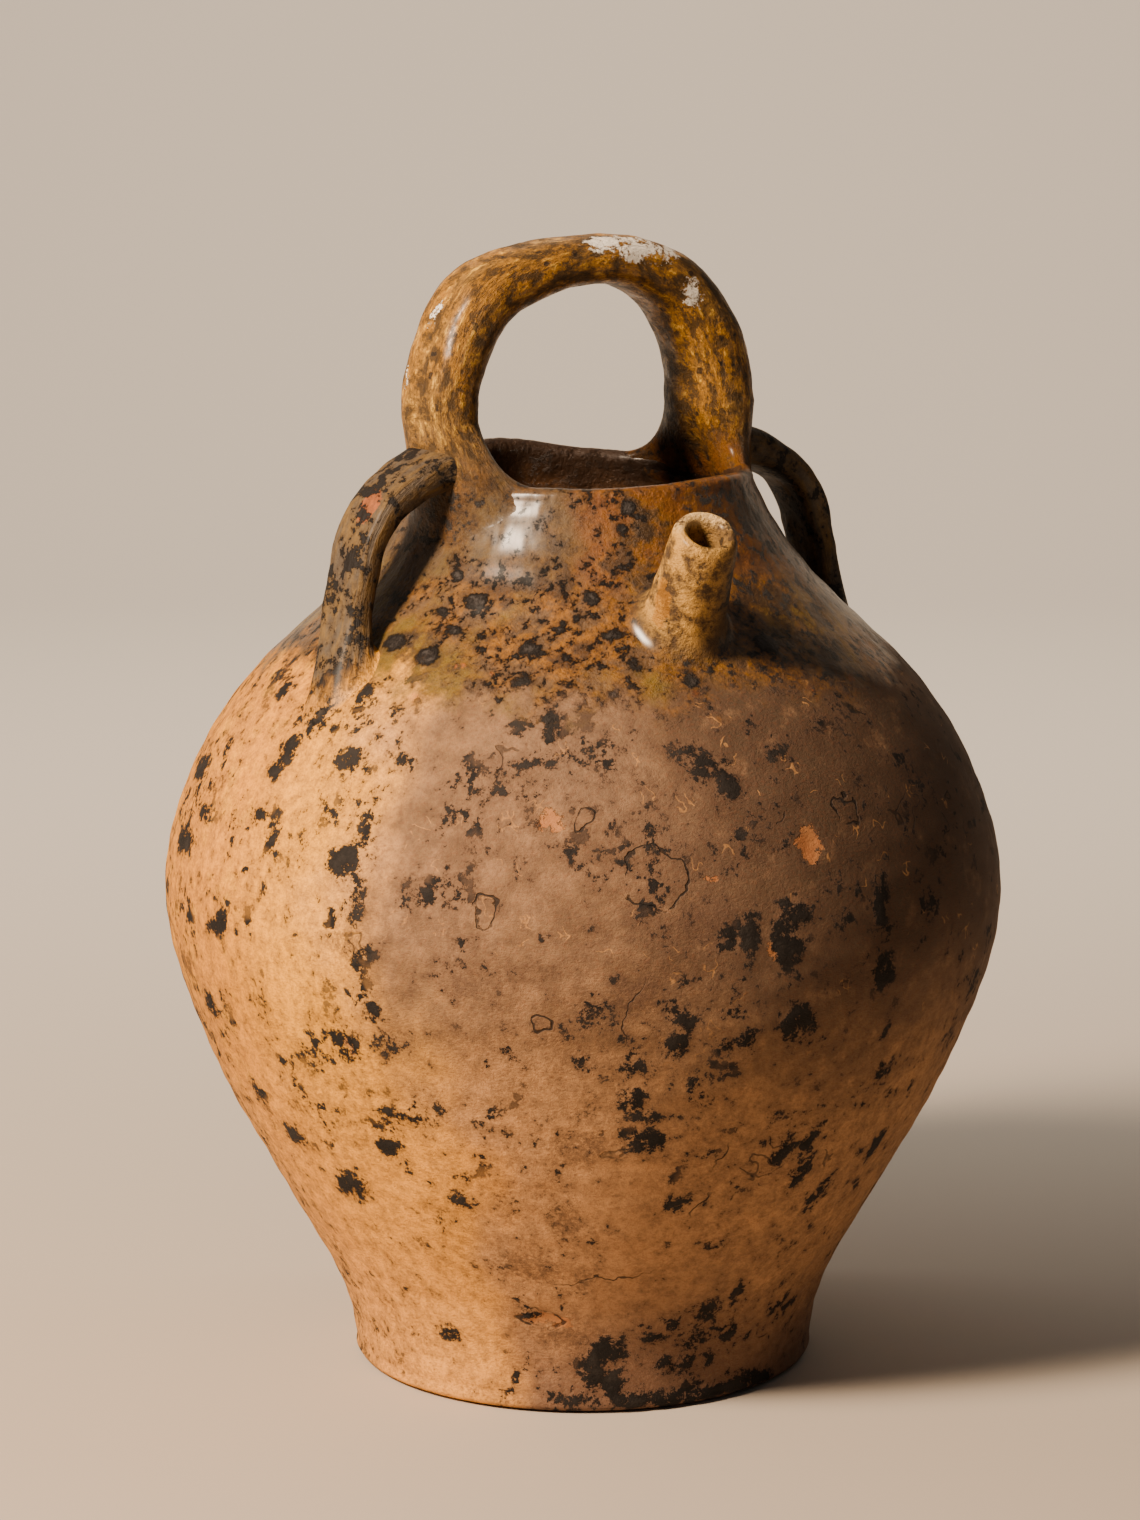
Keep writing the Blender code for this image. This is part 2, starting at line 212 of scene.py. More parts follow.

# %% [markdown]
# Some marks are landmarks: a burnt stroke with a bend, a great blot by the spout, crust about the foot, sooty
# smudges, and chips that show the bare clay. They were picked in the photograph and placed through its
# fitted camera. Each is an oval on the wall, given by its bearing in degrees, its height and its half sizes
# across and up in millimetres, and a lean. Every point of the wall keeps its depth inside the nearest one,
# for the finish to colour, and the crust and the chips move the wall itself a little.

# %% Landmarks on the wall
BURNT_MARKS = (
    # the bent stroke and the blot by the spout
    (-38.4, 226, 1.5, 7, -4), (-38.7, 231, 2.6, 2.2), (-41.5, 218.6, 6.5, 1.5, 18),
    (-46.2, 211.1, 3.5, 2), (-24, 201, 1.2, 3.2), (-14, 217.5, 6.5, 4, -16),
    (-11.5, 212, 4, 4.6), (-16.8, 221.5, 3.4, 2.2), (-2, 220, 4, 2.4),
    # the sunny side of the belly
    (-71.3, 216.7, 4.4, 3.4), (-85.4, 227.3, 3.4, 2.7), (-81.3, 227.1, 3.1, 3.4), (-84.2, 216.9, 4, 5.2),
    (-85.7, 210.3, 3.4, 3.4), (-61, 218.1, 2.3, 1.4), (-64.1, 197.9, 2.1, 6.1), (-67.1, 188.1, 5.3, 5.2),
    (-64, 177.3, 1.9, 5.5), (-53.8, 180.2, 3.7, 2.5), (-89.3, 163.1, 2.5, 2.7), (-91.8, 158.6, 2.6, 1.6),
    (-61.2, 142.9, 2.8, 3), (-66.5, 129.5, 4.1, 5.2), (-60, 132.4, 4.6, 3), (-62, 107.8, 3.1, 2),
    (-59.1, 106.5, 4.6, 2), (-64.1, 95.1, 4.8, 3.4), (-54, 111.3, 1.9, 2.7), (-53.3, 78.3, 3.6, 2.3),
    (-75.5, 77, 7.4, 5, 25), (-85.2, 90.8, 4.5, 4.1), (-91.9, 103, 2.6, 3.4), (-97.2, 129.7, 3.8, 4.8),
    (-73.4, 124.4, 3.2, 1.6), (-85, 196.3, 2.7, 2.5), (-74.8, 234.6, 2.7, 4.1),
    (-100.7, 190.9, 5, 2.5), (-105.7, 180.1, 9, 4.1), (-96.4, 230.8, 3.7, 3.4), (-110.1, 201.6, 9, 4.1),
    # the front, below the flash
    (-5.9, 165.1, 5.5, 7.1), (-4.7, 174.4, 5.6, 3.3), (-11.3, 168.4, 2.9, 6.6), (9.4, 169.7, 3, 6.6),
    (10, 151.1, 4.5, 4.9), (-3.9, 139.2, 5, 6), (-11.4, 135.1, 2.9, 2.7), (-14.1, 135.1, 1.7, 2.7),
    (-20.7, 135.2, 3.4, 3.8), (-19.8, 142.7, 2.8, 3.3), (-26.6, 127.8, 3.3, 2.2), (-26.2, 117.3, 3.9, 3.8),
    (-23.9, 111.2, 5, 2.2), (-23.8, 101.6, 5.5, 4.4), (-32.7, 144.8, 1.6, 1.9), (-18.1, 121.6, 1.1, 2.7),
    (14.4, 116.7, 3.2, 2.7), (-17.1, 79, 2.3, 1.6), (-1.1, 92.7, 2.6, 4.9, -14), (3.6, 94.6, 2.7, 4.4, -14),
    (4.4, 84.6, 3.4, 6.6, -14), (12.2, 75.2, 1.6, 4.4, -14), (22.3, 85.1, 3.8, 5.5, -14),
    (-7.3, 59.7, 1.8, 1.3),
    # the crust about the foot
    (-27.2, 22.2, 6, 5), (-30.2, 13.8, 4.4, 5.5), (-25.7, 8.5, 3.3, 5.6), (-17.7, 25.5, 3.4, 2.2),
    (-11.9, 29.9, 1.8, 1.6), (-4.7, 32.8, 4.3, 4.4), (-5.4, 22.8, 4.3, 2), (2.9, 22.5, 2, 4.4),
    (-13.2, 15.2, 2.6, 2.4), (-8, 14.9, 3.4, 2.7), (-1.2, 14.6, 1.9, 2.7), (-33.7, 4.5, 5.5, 2.2),
    (-21.5, 3.9, 6.7, 2.7), (-12.1, 2.1, 5.8, 2.4), (-1.1, 2.7, 7.7, 2.4), (8.2, 3.7, 7.3, 3.3),
    (15.4, 3.8, 6.6, 2.7), (-44.8, 35.4, 2.4, 2), (-65.6, 24.5, 3, 2.6),
    # blisters in the glaze
    (-31, 263, 3.4, 3.2), (-34.5, 258, 1.6, 2.4), (-43.5, 249.1, 4.2, 3.4), (-22.9, 245, 3, 4.6),
    (-65.5, 245.8, 5, 4), (-62, 253.2, 4, 2.6), (-26.9, 253, 3.6, 2), (-12.7, 240.1, 3.2, 3.4),
    (-21.3, 282.7, 2.4, 2.4), (-85, 281, 8, 6.5), (-44.2, 240.7, 4.4, 2.6),
    (-76.3, 248.2, 5, 4), (8, 248, 5, 4), (-59.6, 261.4, 4.6, 3.6), (-67.3, 257.8, 4, 2.4),
)
SMUDGES = (
    (-16.4, 172.3, 10, 7), (-48.5, 154.4, 4.7, 4.1), (-64.8, 163.8, 5.6, 4.1), (-35.5, 72.1, 4.4, 5.5),
    (-33.4, 99.7, 7.7, 6.6), (-32.9, 48.6, 2.6, 4), (-43, 54, 9, 6, -24), (-26, 152, 9, 6),
    (-38, 27, 8, 4),
)
BARE_CHIPS = (
    (-37.3, 203.7, 4, 3.2), (-8.4, 163, 1.8, 2.2), (-0.6, 193, 4, 5.5),
    (-41, 33.2, 6.5, 2.6, -8), (-66, 130.5, 1.2, 2), (-16, 186, 1.6, 1),
)
FAR_FROM_MARKS = -8.0
DEEPEST = 1.5


def mark_depth(bearing, length, radius, marks):
    """Depth in millimetres inside the nearest mark, below 0 outside, for rows of points on the wall."""
    found = np.full(np.shape(bearing), FAR_FROM_MARKS)
    for centre, height, across, up, *lean in marks:
        sideways = turn_from(math.radians(centre), bearing) * radius / MM
        upwards = (length - length_at(height * MM)) / MM
        tilt = math.radians(sum(lean))
        first = sideways * math.cos(tilt) + upwards * math.sin(tilt)
        second = upwards * math.cos(tilt) - sideways * math.sin(tilt)
        depth = (1 - np.hypot(first / across, second / up)) * min(across, up)
        found = np.maximum(found, depth)
    return np.minimum(found, DEEPEST)


print("landmarks:", len(BURNT_MARKS), "burnt,", len(SMUDGES), "smudged,", len(BARE_CHIPS), "chipped")

# %% [markdown]
# The body becomes a net of bearings and lengths. It is fine enough for the finger rings and the uneven
# lip, and the same two coordinates serve as its unwrapping, so a texture baked from it has one straight seam.

# %% The thrown body
BEARINGS = 400
OUTER_STEP = 2 * MM
INNER_STEP = 6 * MM
BASE_LENGTHS = (8 * MM, 40 * MM)
LIP_REACH = 8 * MM
LIP_ROWS = 15
FLOOR_MIDDLE = 4 * MM
CRUST_HEIGHT = 0.35 * MM
CHIP_DEPTH = 0.5 * MM


def body_lengths():
    """Lengths of the net's rings along the section line: close on the outside and the lip, wide inside."""
    lip_start = LIP_TOP - LIP_REACH
    lip_end = LIP_TOP + LIP_REACH
    outside = np.arange(along_section[1], lip_start, OUTER_STEP)
    lip = np.linspace(lip_start, lip_end, LIP_ROWS)
    inside = np.arange(lip_end + INNER_STEP, along_section[-1] - FLOOR_MIDDLE, INNER_STEP)
    return np.concatenate([BASE_LENGTHS, outside, lip, inside])


def add_mesh_piece(name, points, faces):
    """A smooth-shaded object with every face turned outwards."""
    data = bpy.data.meshes.new(name)
    data.from_pydata([tuple(p) for p in points], [], faces)
    data.validate()
    net = bmesh.new()
    net.from_mesh(data)
    bmesh.ops.recalc_face_normals(net, faces=net.faces)
    net.to_mesh(data)
    net.free()
    data.shade_smooth()
    piece = bpy.data.objects.new(name, data)
    bpy.context.scene.collection.objects.link(piece)
    return piece


def keep_values(piece, name, values):
    """Stores one number for each point of a piece, for its finish to read."""
    row = piece.data.attributes.new(name, "FLOAT", "POINT")
    row.data.foreach_set("value", np.asarray(values, np.float32))


def body_faces(rings):
    """Faces of the net: a fan under the base, quads between the rings and a fan on the floor inside."""
    faces = []
    last = 1 + (rings - 1) * BEARINGS
    for i in range(BEARINGS):
        j = (i + 1) % BEARINGS
        faces.append((0, 1 + j, 1 + i))
        for low in range(1, last, BEARINGS):
            high = low + BEARINGS
            faces.append((low + i, low + j, high + j, high + i))
        faces.append((last + i, last + j, last + BEARINGS))
    return faces


def unwrap_body(piece, ring_of):
    """Lays each corner out by its bearing and its share of the section line."""
    unwrap = piece.data.uv_layers.new(name="OFBake")
    for face in piece.data.polygons:
        across = {c: (c - 1) % BEARINGS / BEARINGS for c in face.vertices if 0 < c < len(ring_of) - 1}
        middle = sum(across.values()) / len(across)
        on_seam = max(across.values()) - min(across.values()) > 0.5
        for loop, corner in zip(face.loop_indices, face.vertices):
            u = across.get(corner, middle)
            if on_seam and corner in across and u < 0.5:
                u += 1
            unwrap.data[loop].uv = (u, ring_of[corner])


def make_body():
    lengths = body_lengths()
    turns = np.linspace(0, 2 * math.pi, BEARINGS, endpoint=False)
    radii = np.interp(lengths, along_section, section[:, 0])
    around, along = np.meshgrid(turns, lengths)
    marks = {"burnt": BURNT_MARKS, "chipped": BARE_CHIPS, "smudged": SMUDGES}
    depths = {name: mark_depth(around, along, radii[:, None], rows) for name, rows in marks.items()}
    crust = np.clip(depths["burnt"], 0, 1) * CRUST_HEIGHT
    lifts = crust - np.clip(depths["chipped"], 0, 1) * CHIP_DEPTH
    points = [Vector()]
    for length, row in zip(lengths, lifts):
        points += [body_point(turn, length, lift) for turn, lift in zip(turns, row)]
    points.append(UP * FLOOR)
    piece = add_mesh_piece("thrown_body_clay", points, body_faces(len(lengths)))
    ring_of = np.concatenate([[0], np.repeat(lengths, BEARINGS), [along_section[-1]]]) / along_section[-1]
    unwrap_body(piece, ring_of)
    keep_values(piece, "inside", ring_of > LIP_TOP / along_section[-1])
    for name, depth in depths.items():
        keep_values(piece, name, np.concatenate([[FAR_FROM_MARKS], depth.ravel(), [FAR_FROM_MARKS]]))
    return piece


body = make_body()
print("body faces:", len(body.data.polygons))

# %% [markdown]
# A pulled handle is a tapering strap of soft clay, bent and pressed on while both clays are damp. The strap
# is a sweep: an oval carried along a smooth path, with the thickness and width eased between stations. A
# curve object with a bevel could do it, but would give no say over each ring, and the feet need that.

# %% Sweeps with uneven, hand-made ovals
SIDES = 64
# each row: share of the size, fineness, and a shift to another part of the noise
LUMPS = ((0.65, 60, (5, 1, 2)), (0.35, 150, (0, 0, 0)), (0.14, 420, (1, 9, 4)))


def smooth_path(stations, steps):
    """A curve through every station, with tangents set by the neighbours on each side."""
    stations = np.asarray(stations, float)
    reach = np.linalg.norm(np.diff(stations[:, :2], axis=0), axis=1)
    along = np.concatenate([[0], np.cumsum(reach)])
    slopes = np.gradient(stations, along, axis=0)
    rows = []
    for i in range(len(stations) - 1):
        span = along[i + 1] - along[i]
        for t in np.arange(steps) / steps:
            ease = t * t * (3 - 2 * t)
            bend = t * (1 - t) * span * ((1 - t) * slopes[i] - t * slopes[i + 1])
            rows.append((1 - ease) * stations[i] + ease * stations[i + 1] + bend)
    rows.append(stations[-1])
    return np.array(rows)


def plane_at(bearing):
    """The ways outward and across at a bearing."""
    outward = Vector((math.sin(bearing), -math.cos(bearing), 0))
    across = Vector((math.cos(bearing), math.sin(bearing), 0))
    return outward, across


def lumps(point, size):
    """Small unevenness that fingers leave on a pulled strap."""
    waves = (share * noise.noise(point * fineness + Vector(shift)) for share, fineness, shift in LUMPS)
    return size * sum(waves)


def oval(turn, squareness):
    """A point of a rounded oval with unit half-axes: 2 is an ellipse, more is squarer."""
    c = math.cos(turn)
    s = math.sin(turn)
    power = 2 / squareness
    return math.copysign(abs(c) ** power, c), math.copysign(abs(s) ** power, s)


def sweep_rings(stations, bearing, steps, squareness=2.7, lump=0.9 * MM):
    """Rings of an oval of (outward, height, thickness, width) carried along the stations."""
    path = smooth_path(stations, steps)
    outward, across = plane_at(bearing)
    ways = np.gradient(path[:, :2], axis=0)
    rings = []
    for (out, height, thickness, width), (d_out, d_up) in zip(path, ways):
        size = math.hypot(d_out, d_up)
        centre = outward * out + UP * height
        normal = (outward * d_up - UP * d_out) / size
        ring = []
        for side in range(SIDES):
            c, s = oval(2 * math.pi * side / SIDES, squareness)
            spoke = normal * (thickness / 2 * c) + across * (width / 2 * s)
            spoke *= 1 + lumps(centre + spoke, lump) / spoke.length
            ring.append(centre + spoke)
        rings.append(ring)
    return rings


# %% [markdown]
# Where a strap meets the body the potter smears its edge down until the seam is gone. So a foot is drawn
# as a footprint on the body, an ellipse in bearing and length along the section line, and the strap's last
# ring flows into it: each side bends from the way of the strap to lie flat on the wall. The footprint ends
# a hair under the skin, and a hidden cap closes the piece.

# %% Pressed feet
FOOT_STEPS = 12
SUNK = 0.4 * MM
BURIED = 4 * MM
CAP_SHARE = 0.9
LEAST_RADIUS = 20 * MM


def footprint(bearing, length, half_across, half_along, lift, flips, tail=0):
    """A closed ring on the body in the order of a sweep's ring, drawn down into a point by the tail."""
    ring = []
    for side in range(SIDES):
        turn = 2 * math.pi * side / SIDES
        upwards = flips[0] * math.cos(turn)
        sideways = flips[1] * math.sin(turn)
        drawn = max(-upwards, 0) ** 3
        at_length = length + half_along * upwards - tail * drawn
        radius = max(float(np.interp(at_length, along_section, section[:, 0])), LEAST_RADIUS)
        ring.append(body_point(bearing + half_across * sideways / radius, at_length, lift))
    return ring


def press_foot(ring, bearing, length, half_across, half_along, reach=0.7, tail=0):
    """Rings that lead from a sweep's end down to its footprint, then a buried one for the cap."""
    trials = []
    for flips in ((1, 1), (1, -1), (-1, 1), (-1, -1)):
        outer = footprint(bearing, length, half_across, half_along, -SUNK, flips)
        trials.append((sum((a - b).length for a, b in zip(ring, outer)), flips))
    flips = min(trials)[1]

    def shrunk(share, lift):
        return footprint(bearing, length, half_across * share, half_along * share, lift, flips, tail * share)

    outer = shrunk(1, -SUNK)
    bend = shrunk(reach, 0)
    rings = []
    for step in range(1, FOOT_STEPS + 1):
        t = step / FOOT_STEPS
        rings.append(
            [a * (1 - t) ** 2 + b * (2 * t * (1 - t)) + c * t**2 for a, b, c in zip(ring, bend, outer)]
        )
    return [*rings, shrunk(CAP_SHARE, -BURIED)]


def skin_over(name, rings, first_foot=(), last_foot=()):
    """A closed piece from a stack of rings between feet, which knows how its clay was drawn and pressed."""
    stack = [*reversed(first_foot), *rings, *last_foot]
    pressed = [min((k + 1) / FOOT_STEPS, 1) for k in range(FOOT_STEPS + 1)]
    seats = pressed[: len(first_foot)][::-1] + [0] * len(rings) + pressed[: len(last_foot)]
    points = [p for ring in stack for p in ring]
    faces = []
    for low in range(0, len(points) - SIDES, SIDES):
        for i in range(SIDES):
            j = (i + 1) % SIDES
            faces.append((low + i, low + j, low + SIDES + j, low + SIDES + i))
    middles = [sum(ring, Vector()) / SIDES for ring in stack]
    for start, middle in ((0, middles[0]), (len(points) - SIDES, middles[-1])):
        points.append(middle)
        for i in range(SIDES):
            faces.append((start + i, start + (i + 1) % SIDES, len(points) - 1))
    piece = add_mesh_piece(name, points, faces)
    keep_values(piece, "seat", [seat for seat in seats for _ in range(SIDES)] + [1, 1])

    steps = [(b - a).length for a, b in zip(middles, middles[1:])]
    drawn = np.concatenate([[0], np.cumsum(steps)])
    flow = piece.data.attributes.new("flow", "FLOAT_VECTOR", "POINT")
    for k, ring in enumerate(stack):
        for i, point in enumerate(ring):
            turn = 2 * math.pi * i / SIDES
            reach = (point - middles[k]).length
            flow.data[k * SIDES + i].vector = (drawn[k], reach * math.cos(turn), reach * math.sin(turn))
    return piece


# %% [markdown]
# The basket handle arches over the mouth. Its right end is the thick root, its left end the thinner tail,
# and both feet straddle the lip: a tongue runs down the outside of the neck, a shorter one just inside.

# %% Basket handle
RIGHT = math.radians(90)
LEFT = math.radians(-90)
FOOT_LEAN = math.radians(6)
FOOT_ON_LIP = LIP_TOP - 5 * MM
LEFT_DROP = 1 * MM
FOOT_ACROSS = 36 * MM
FOOT_ALONG = 19 * MM
# each row: outward to the right, height above the rim, thickness and width, in millimetres
HANDLE_STATIONS = (
    (49.5, 21, 24, 33), (48.5, 30.5, 23.5, 32), (44, 44.5, 22.5, 30),
    (34.6, 58, 20.5, 28.5), (16, 67.9, 17, 27.5), (-2.8, 69.3, 15.4, 26.5),
    (-22, 66.5, 17.5, 27), (-40.4, 58, 21, 28), (-49.5, 43.5, 20.5, 28.5),
    (-53.6, 30.5, 19, 29), (-54, 21, 19, 30),
)


def above_rim(rows):
    """Stations in metres from rows in millimetres, with their heights counted from the rim."""
    return np.array(rows) * MM + (0, RIM_HEIGHT, 0, 0)


def make_basket_handle():
    rings = sweep_rings(above_rim(HANDLE_STATIONS), RIGHT, steps=12)
    feet = []
    for ring, bearing, length in ((rings[0], RIGHT, FOOT_ON_LIP), (rings[-1], LEFT, FOOT_ON_LIP - LEFT_DROP)):
        feet.append(press_foot(ring, bearing + FOOT_LEAN, length, FOOT_ACROSS, FOOT_ALONG, reach=0.6))
    return skin_over("basket_handle_clay", rings, *feet)


basket = make_basket_handle()
print("basket handle faces:", len(basket.data.polygons))

# %% [markdown]
# Two small straps spring from the feet of the basket handle and land on the shoulder, each with room for a
# finger. They are thinner, and each lower end is dragged down into a tail.

# %% Strap handles
LEFT_STRAP = math.radians(-87)
LEFT_SKEW = math.radians(4)
RIGHT_BOW = 1
STRAP_FOOT_LENGTH = length_at(RIM_HEIGHT - 54 * MM)
STRAP_FOOT = 14 * MM
STRAP_TAIL = 13 * MM


def make_strap(name, bearing, bow=0, skew=0):
    """A strap at a bearing, bowed out by some millimetres, with its foot turned a little to one side."""
    stations = (
        (52, 8, 14, 30),
        (61, 6, 13.5, 27),
        (70.5, 2, 12, 24),
        (79 + bow, -4, 10.8, 22),
        (85.5 + bow, -13.5, 10, 21),
        (89 + bow, -24.5, 9.6, 20.5),
        (91.5 + bow, -35.5, 9.6, 20.5),
    )
    rings = sweep_rings(above_rim(stations), bearing, steps=8, squareness=3.2, lump=1 * MM)
    foot = press_foot(
        rings[-1], bearing + skew, STRAP_FOOT_LENGTH, STRAP_FOOT, STRAP_FOOT, reach=0.66, tail=STRAP_TAIL
    )
    return skin_over(name, rings, last_foot=foot)


right_strap = make_strap("right_strap_clay", RIGHT, bow=RIGHT_BOW)
left_strap = make_strap("left_strap_clay", LEFT_STRAP, skew=LEFT_SKEW)
print("strap faces:", len(right_strap.data.polygons), len(left_strap.data.polygons))

# %% [markdown]
# The spout is a short hand-rolled tube. Its rings start at the bottom of the bore, climb to the mouth, roll
# over a worn lip and come down the outside to a wide foot on the shoulder.

# %% Pouring spout
SPOUT_BEARING = math.radians(-10)
SPOUT_TILT = math.radians(60)
SPOUT_SEAT = RIM_HEIGHT - 36.5 * MM
SPOUT_FOOT_DROP = 1 * MM
SPOUT_FOOT = (20 * MM, 19 * MM)
SPOUT_SQUARENESS = 2.1
SPOUT_LUMP = 0.55 * MM
FINER = 1.3
TIP_DROP = 0.9 * MM
# in millimetres: the spout's length, where its tip starts to drop, and rows of reach along it and diameter
SPOUT_LENGTH = 35
TIP_START = 20
SPOUT_PROFILE = (
    (4, 8.5), (12, 9), (24, 9.6),
    (SPOUT_LENGTH - 4, 10.6), (SPOUT_LENGTH - 1.5, 11.6), (SPOUT_LENGTH - 0.3, 13.4),
    (SPOUT_LENGTH + 0.2, 15.6), (SPOUT_LENGTH - 0.3, 17.9), (SPOUT_LENGTH - 1.8, 19.8),
    (SPOUT_LENGTH - 4.5, 20.8), (24, 21.6), (17, 22.6),
    (12.5, 23.8),
)


def make_spout():
    outward, across = plane_at(SPOUT_BEARING)
    axis = outward * math.cos(SPOUT_TILT) + UP * math.sin(SPOUT_TILT)
    normal = outward * math.sin(SPOUT_TILT) - UP * math.cos(SPOUT_TILT)
    seat = outward * outer_radius(SPOUT_SEAT) + UP * SPOUT_SEAT
    rings = []
    for reach, diameter in smooth_path(np.array(SPOUT_PROFILE) * MM, 3):
        ring = []
        near_tip = max(0, (reach / MM - TIP_START) / (SPOUT_LENGTH - TIP_START))
        for side in range(SIDES):
            c, s = oval(2 * math.pi * side / SIDES, SPOUT_SQUARENESS)
            spoke = (normal * c + across * s) * (diameter / 2)
            centre = seat + axis * (reach - TIP_DROP * c * near_tip)
            spoke *= 1 + lumps((centre + spoke) * FINER, SPOUT_LUMP) / spoke.length
            ring.append(centre + spoke)
        rings.append(ring)
    foot_length = length_at(SPOUT_SEAT) - SPOUT_FOOT_DROP
    foot = press_foot(rings[-1], SPOUT_BEARING, foot_length, *SPOUT_FOOT, reach=0.62)
    return skin_over("pouring_spout_clay", rings, last_foot=foot)


spout = make_spout()
print("spout faces:", len(spout.data.polygons))

# %% [markdown]
# Shader nodes are easier to read as arithmetic. One small class wraps the output of a node, so that plus,
# times and the rest write Math nodes, and one method makes any other node from its settings and inputs.

# %% Arithmetic for shaders
class Value:
    """One output of a shader node, usable in Python arithmetic."""

    tree = None

    def __init__(self, socket):
        self.socket = socket

    @classmethod
    def node(cls, kind, inputs, output=0, **settings):
        made = cls.tree.nodes.new("ShaderNode" + kind)
        for name, setting in settings.items():
            setattr(made, name, setting)
        for key, value in inputs.items():
            cls.feed(made.inputs[key], value)
        return cls(made.outputs[output])

    @classmethod
    def feed(cls, socket, value):
        if isinstance(value, Value):
            cls.tree.links.new(value.socket, socket)
        else:
            socket.default_value = value

    def also(self, output):
        """Another output of the same node."""
        return Value(self.socket.node.outputs[output])

    def maths(self, operation, other, reverse=False):
        pair = (other, self) if reverse else (self, other)
        return self.node("Math", dict(enumerate(pair)), operation=operation)

    def __add__(self, other):
        return self.maths("ADD", other)

    def __sub__(self, other):
        return self.maths("SUBTRACT", other)

    def __mul__(self, other):
        return self.maths("MULTIPLY", other)

    def __rsub__(self, other):
        return self.maths("SUBTRACT", other, reverse=True)

    def __abs__(self):
        return self.maths("ABSOLUTE", 0)

    __radd__ = __add__
    __rmul__ = __mul__


def most(first, second):
    return first.maths("MAXIMUM", second)


def deepest(depths):
    """The greatest of several values."""
    return functools.reduce(most, depths)


def ramp(value, low, high):
    """0 below low, 1 above high, eased in between; low may be the greater."""
    limits = {"Value": value, "From Min": low, "From Max": high}
    return Value.node("MapRange", limits, interpolation_type="SMOOTHSTEP")


def band(value, start, full, waning, end):
    """1 from full to waning, eased to 0 at start and end."""
    return ramp(value, start, full) * ramp(value, end, waning)


def vector(operation, first, second):
    return Value.node("VectorMath", {0: first, 1: second}, operation=operation)


def blend(share, under, over):
    """One colour laid over another by a share from 0 to 1."""
    return Value.node("Mix", {0: share, 6: under, 7: over}, output=2, data_type="RGBA")


def part_of(vector_value, letter):
    return Value.node("SeparateXYZ", {0: vector_value}, output=letter)


def tone(red, green, blue):
    """A colour picked on a 0 to 255 screen scale, as the light that a surface gives back."""
    share = [v / 255 for v in (red, green, blue)]
    return (*(v / 12.92 if v < 0.04045 else ((v + 0.055) / 1.055) ** 2.4 for v in share), 1)


# %% [markdown]
# All detail is placed in millimetres on the jar, never on the picture. Noise gives drifts of colour, cells
# of a Voronoi pattern give spots, and a warp of the coordinates makes the edges of both ragged, which is
# what a crust that has burnt on and flaked off looks like. Noise stays near 0.5, so a ramp between two
# levels on either side of it says how much of the surface a colour takes.

# %% Drifts, spots and warps
def jar_place():
    """Where on the jar a point is, in millimetres."""
    place = Value.node("TexCoord", {}, output="Object")
    return Value.node("VectorMath", {0: place, "Scale": 1 / MM}, operation="SCALE")


def shifted(place, *by):
    """A place moved far enough that its noise looks unlike the noise at home."""
    return vector("ADD", place, by)


def kept(name):
    """A number that the mesh keeps for each of its points."""
    return Value.node("Attribute", {}, output="Fac", attribute_name=name)


def cloud(place, size, detail=3, roughness=0.55, output="Fac"):
    """Noise from 0 to 1 whose coarsest lumps are about this many millimetres."""
    settings = {"Vector": place, "Scale": 1 / size, "Detail": detail, "Roughness": roughness}
    return Value.node("TexNoise", settings, output=output)


def warped(place, size, amount, detail=2):
    """A place pushed about by up to some millimetres, which makes what is drawn there ragged."""
    push = vector("SUBTRACT", cloud(place, size, detail, output="Color"), (0.5, 0.5, 0.5))
    return vector("ADD", place, Value.node("VectorMath", {0: push, "Scale": 2 * amount}, operation="SCALE"))


def spots(place, pitch, largest, share, crowd=None):
    """Depth inside scattered spots in millimetres, below 0 outside them; crowd gathers them where it is 1."""
    cells = Value.node("TexVoronoi", {"Vector": place, "Scale": 1 / pitch}, output="Distance")
    luck = part_of(cells.also("Color"), "X")
    radius = largest - (1 - luck) * (largest / share)
    if crowd is not None:
        radius = radius - (1 - crowd) * largest
    return radius - cells * pitch


def crumbled(depth, grain, roughness=0.8):
    """A mask from a depth, with its edge and inside eaten away by a grain from 0 to 1."""
    return ramp(depth + (grain - 0.5) * (2 * roughness), -0.1, 0.25)


# %% [markdown]
# Cracks are landmarks too, but finer than the net of the wall, so the finish draws them itself. Each is an
# oval lying on the wall: a ring crack follows its edge, and a long crack is an oval as thin as a hair.

# %% Cracks in the wall
RING_CRACKS = (
    (-24.6, 187.3, 10, 9.5, 20), (7, 200, 5, 4.2), (-32, 204, 3.4, 3.8),
    (-46, 176, 3.8, 5), (-38, 143, 2.4, 3.4), (-41, 33.2, 7.2, 2.9, -8),
)
LONG_CRACKS = (
    (-11.4, 95, 0.5, 7.5, -12), (-13.6, 79, 0.5, 9.8, -8), (28.5, 21, 0.6, 8.5, -12),
    (-30, 50, 24, 0.4, 0), (-27, 146, 0.4, 11, -20),
)
CRACK_HALF_WIDTH = 0.5
SHORT_RISE = 2
OVAL_THICKNESS = 3


def oval_distance(place, spot, half, turned=(0, 0, 0)):
    """Distance from a spot, counted in the half sizes of an oval that may be turned."""
    settings = {"Vector": place, "Location": spot, "Rotation": turned, "Scale": half}
    local = Value.node("Mapping", settings, vector_type="TEXTURE")
    return Value.node("VectorMath", {0: local}, output="Value", operation="LENGTH")


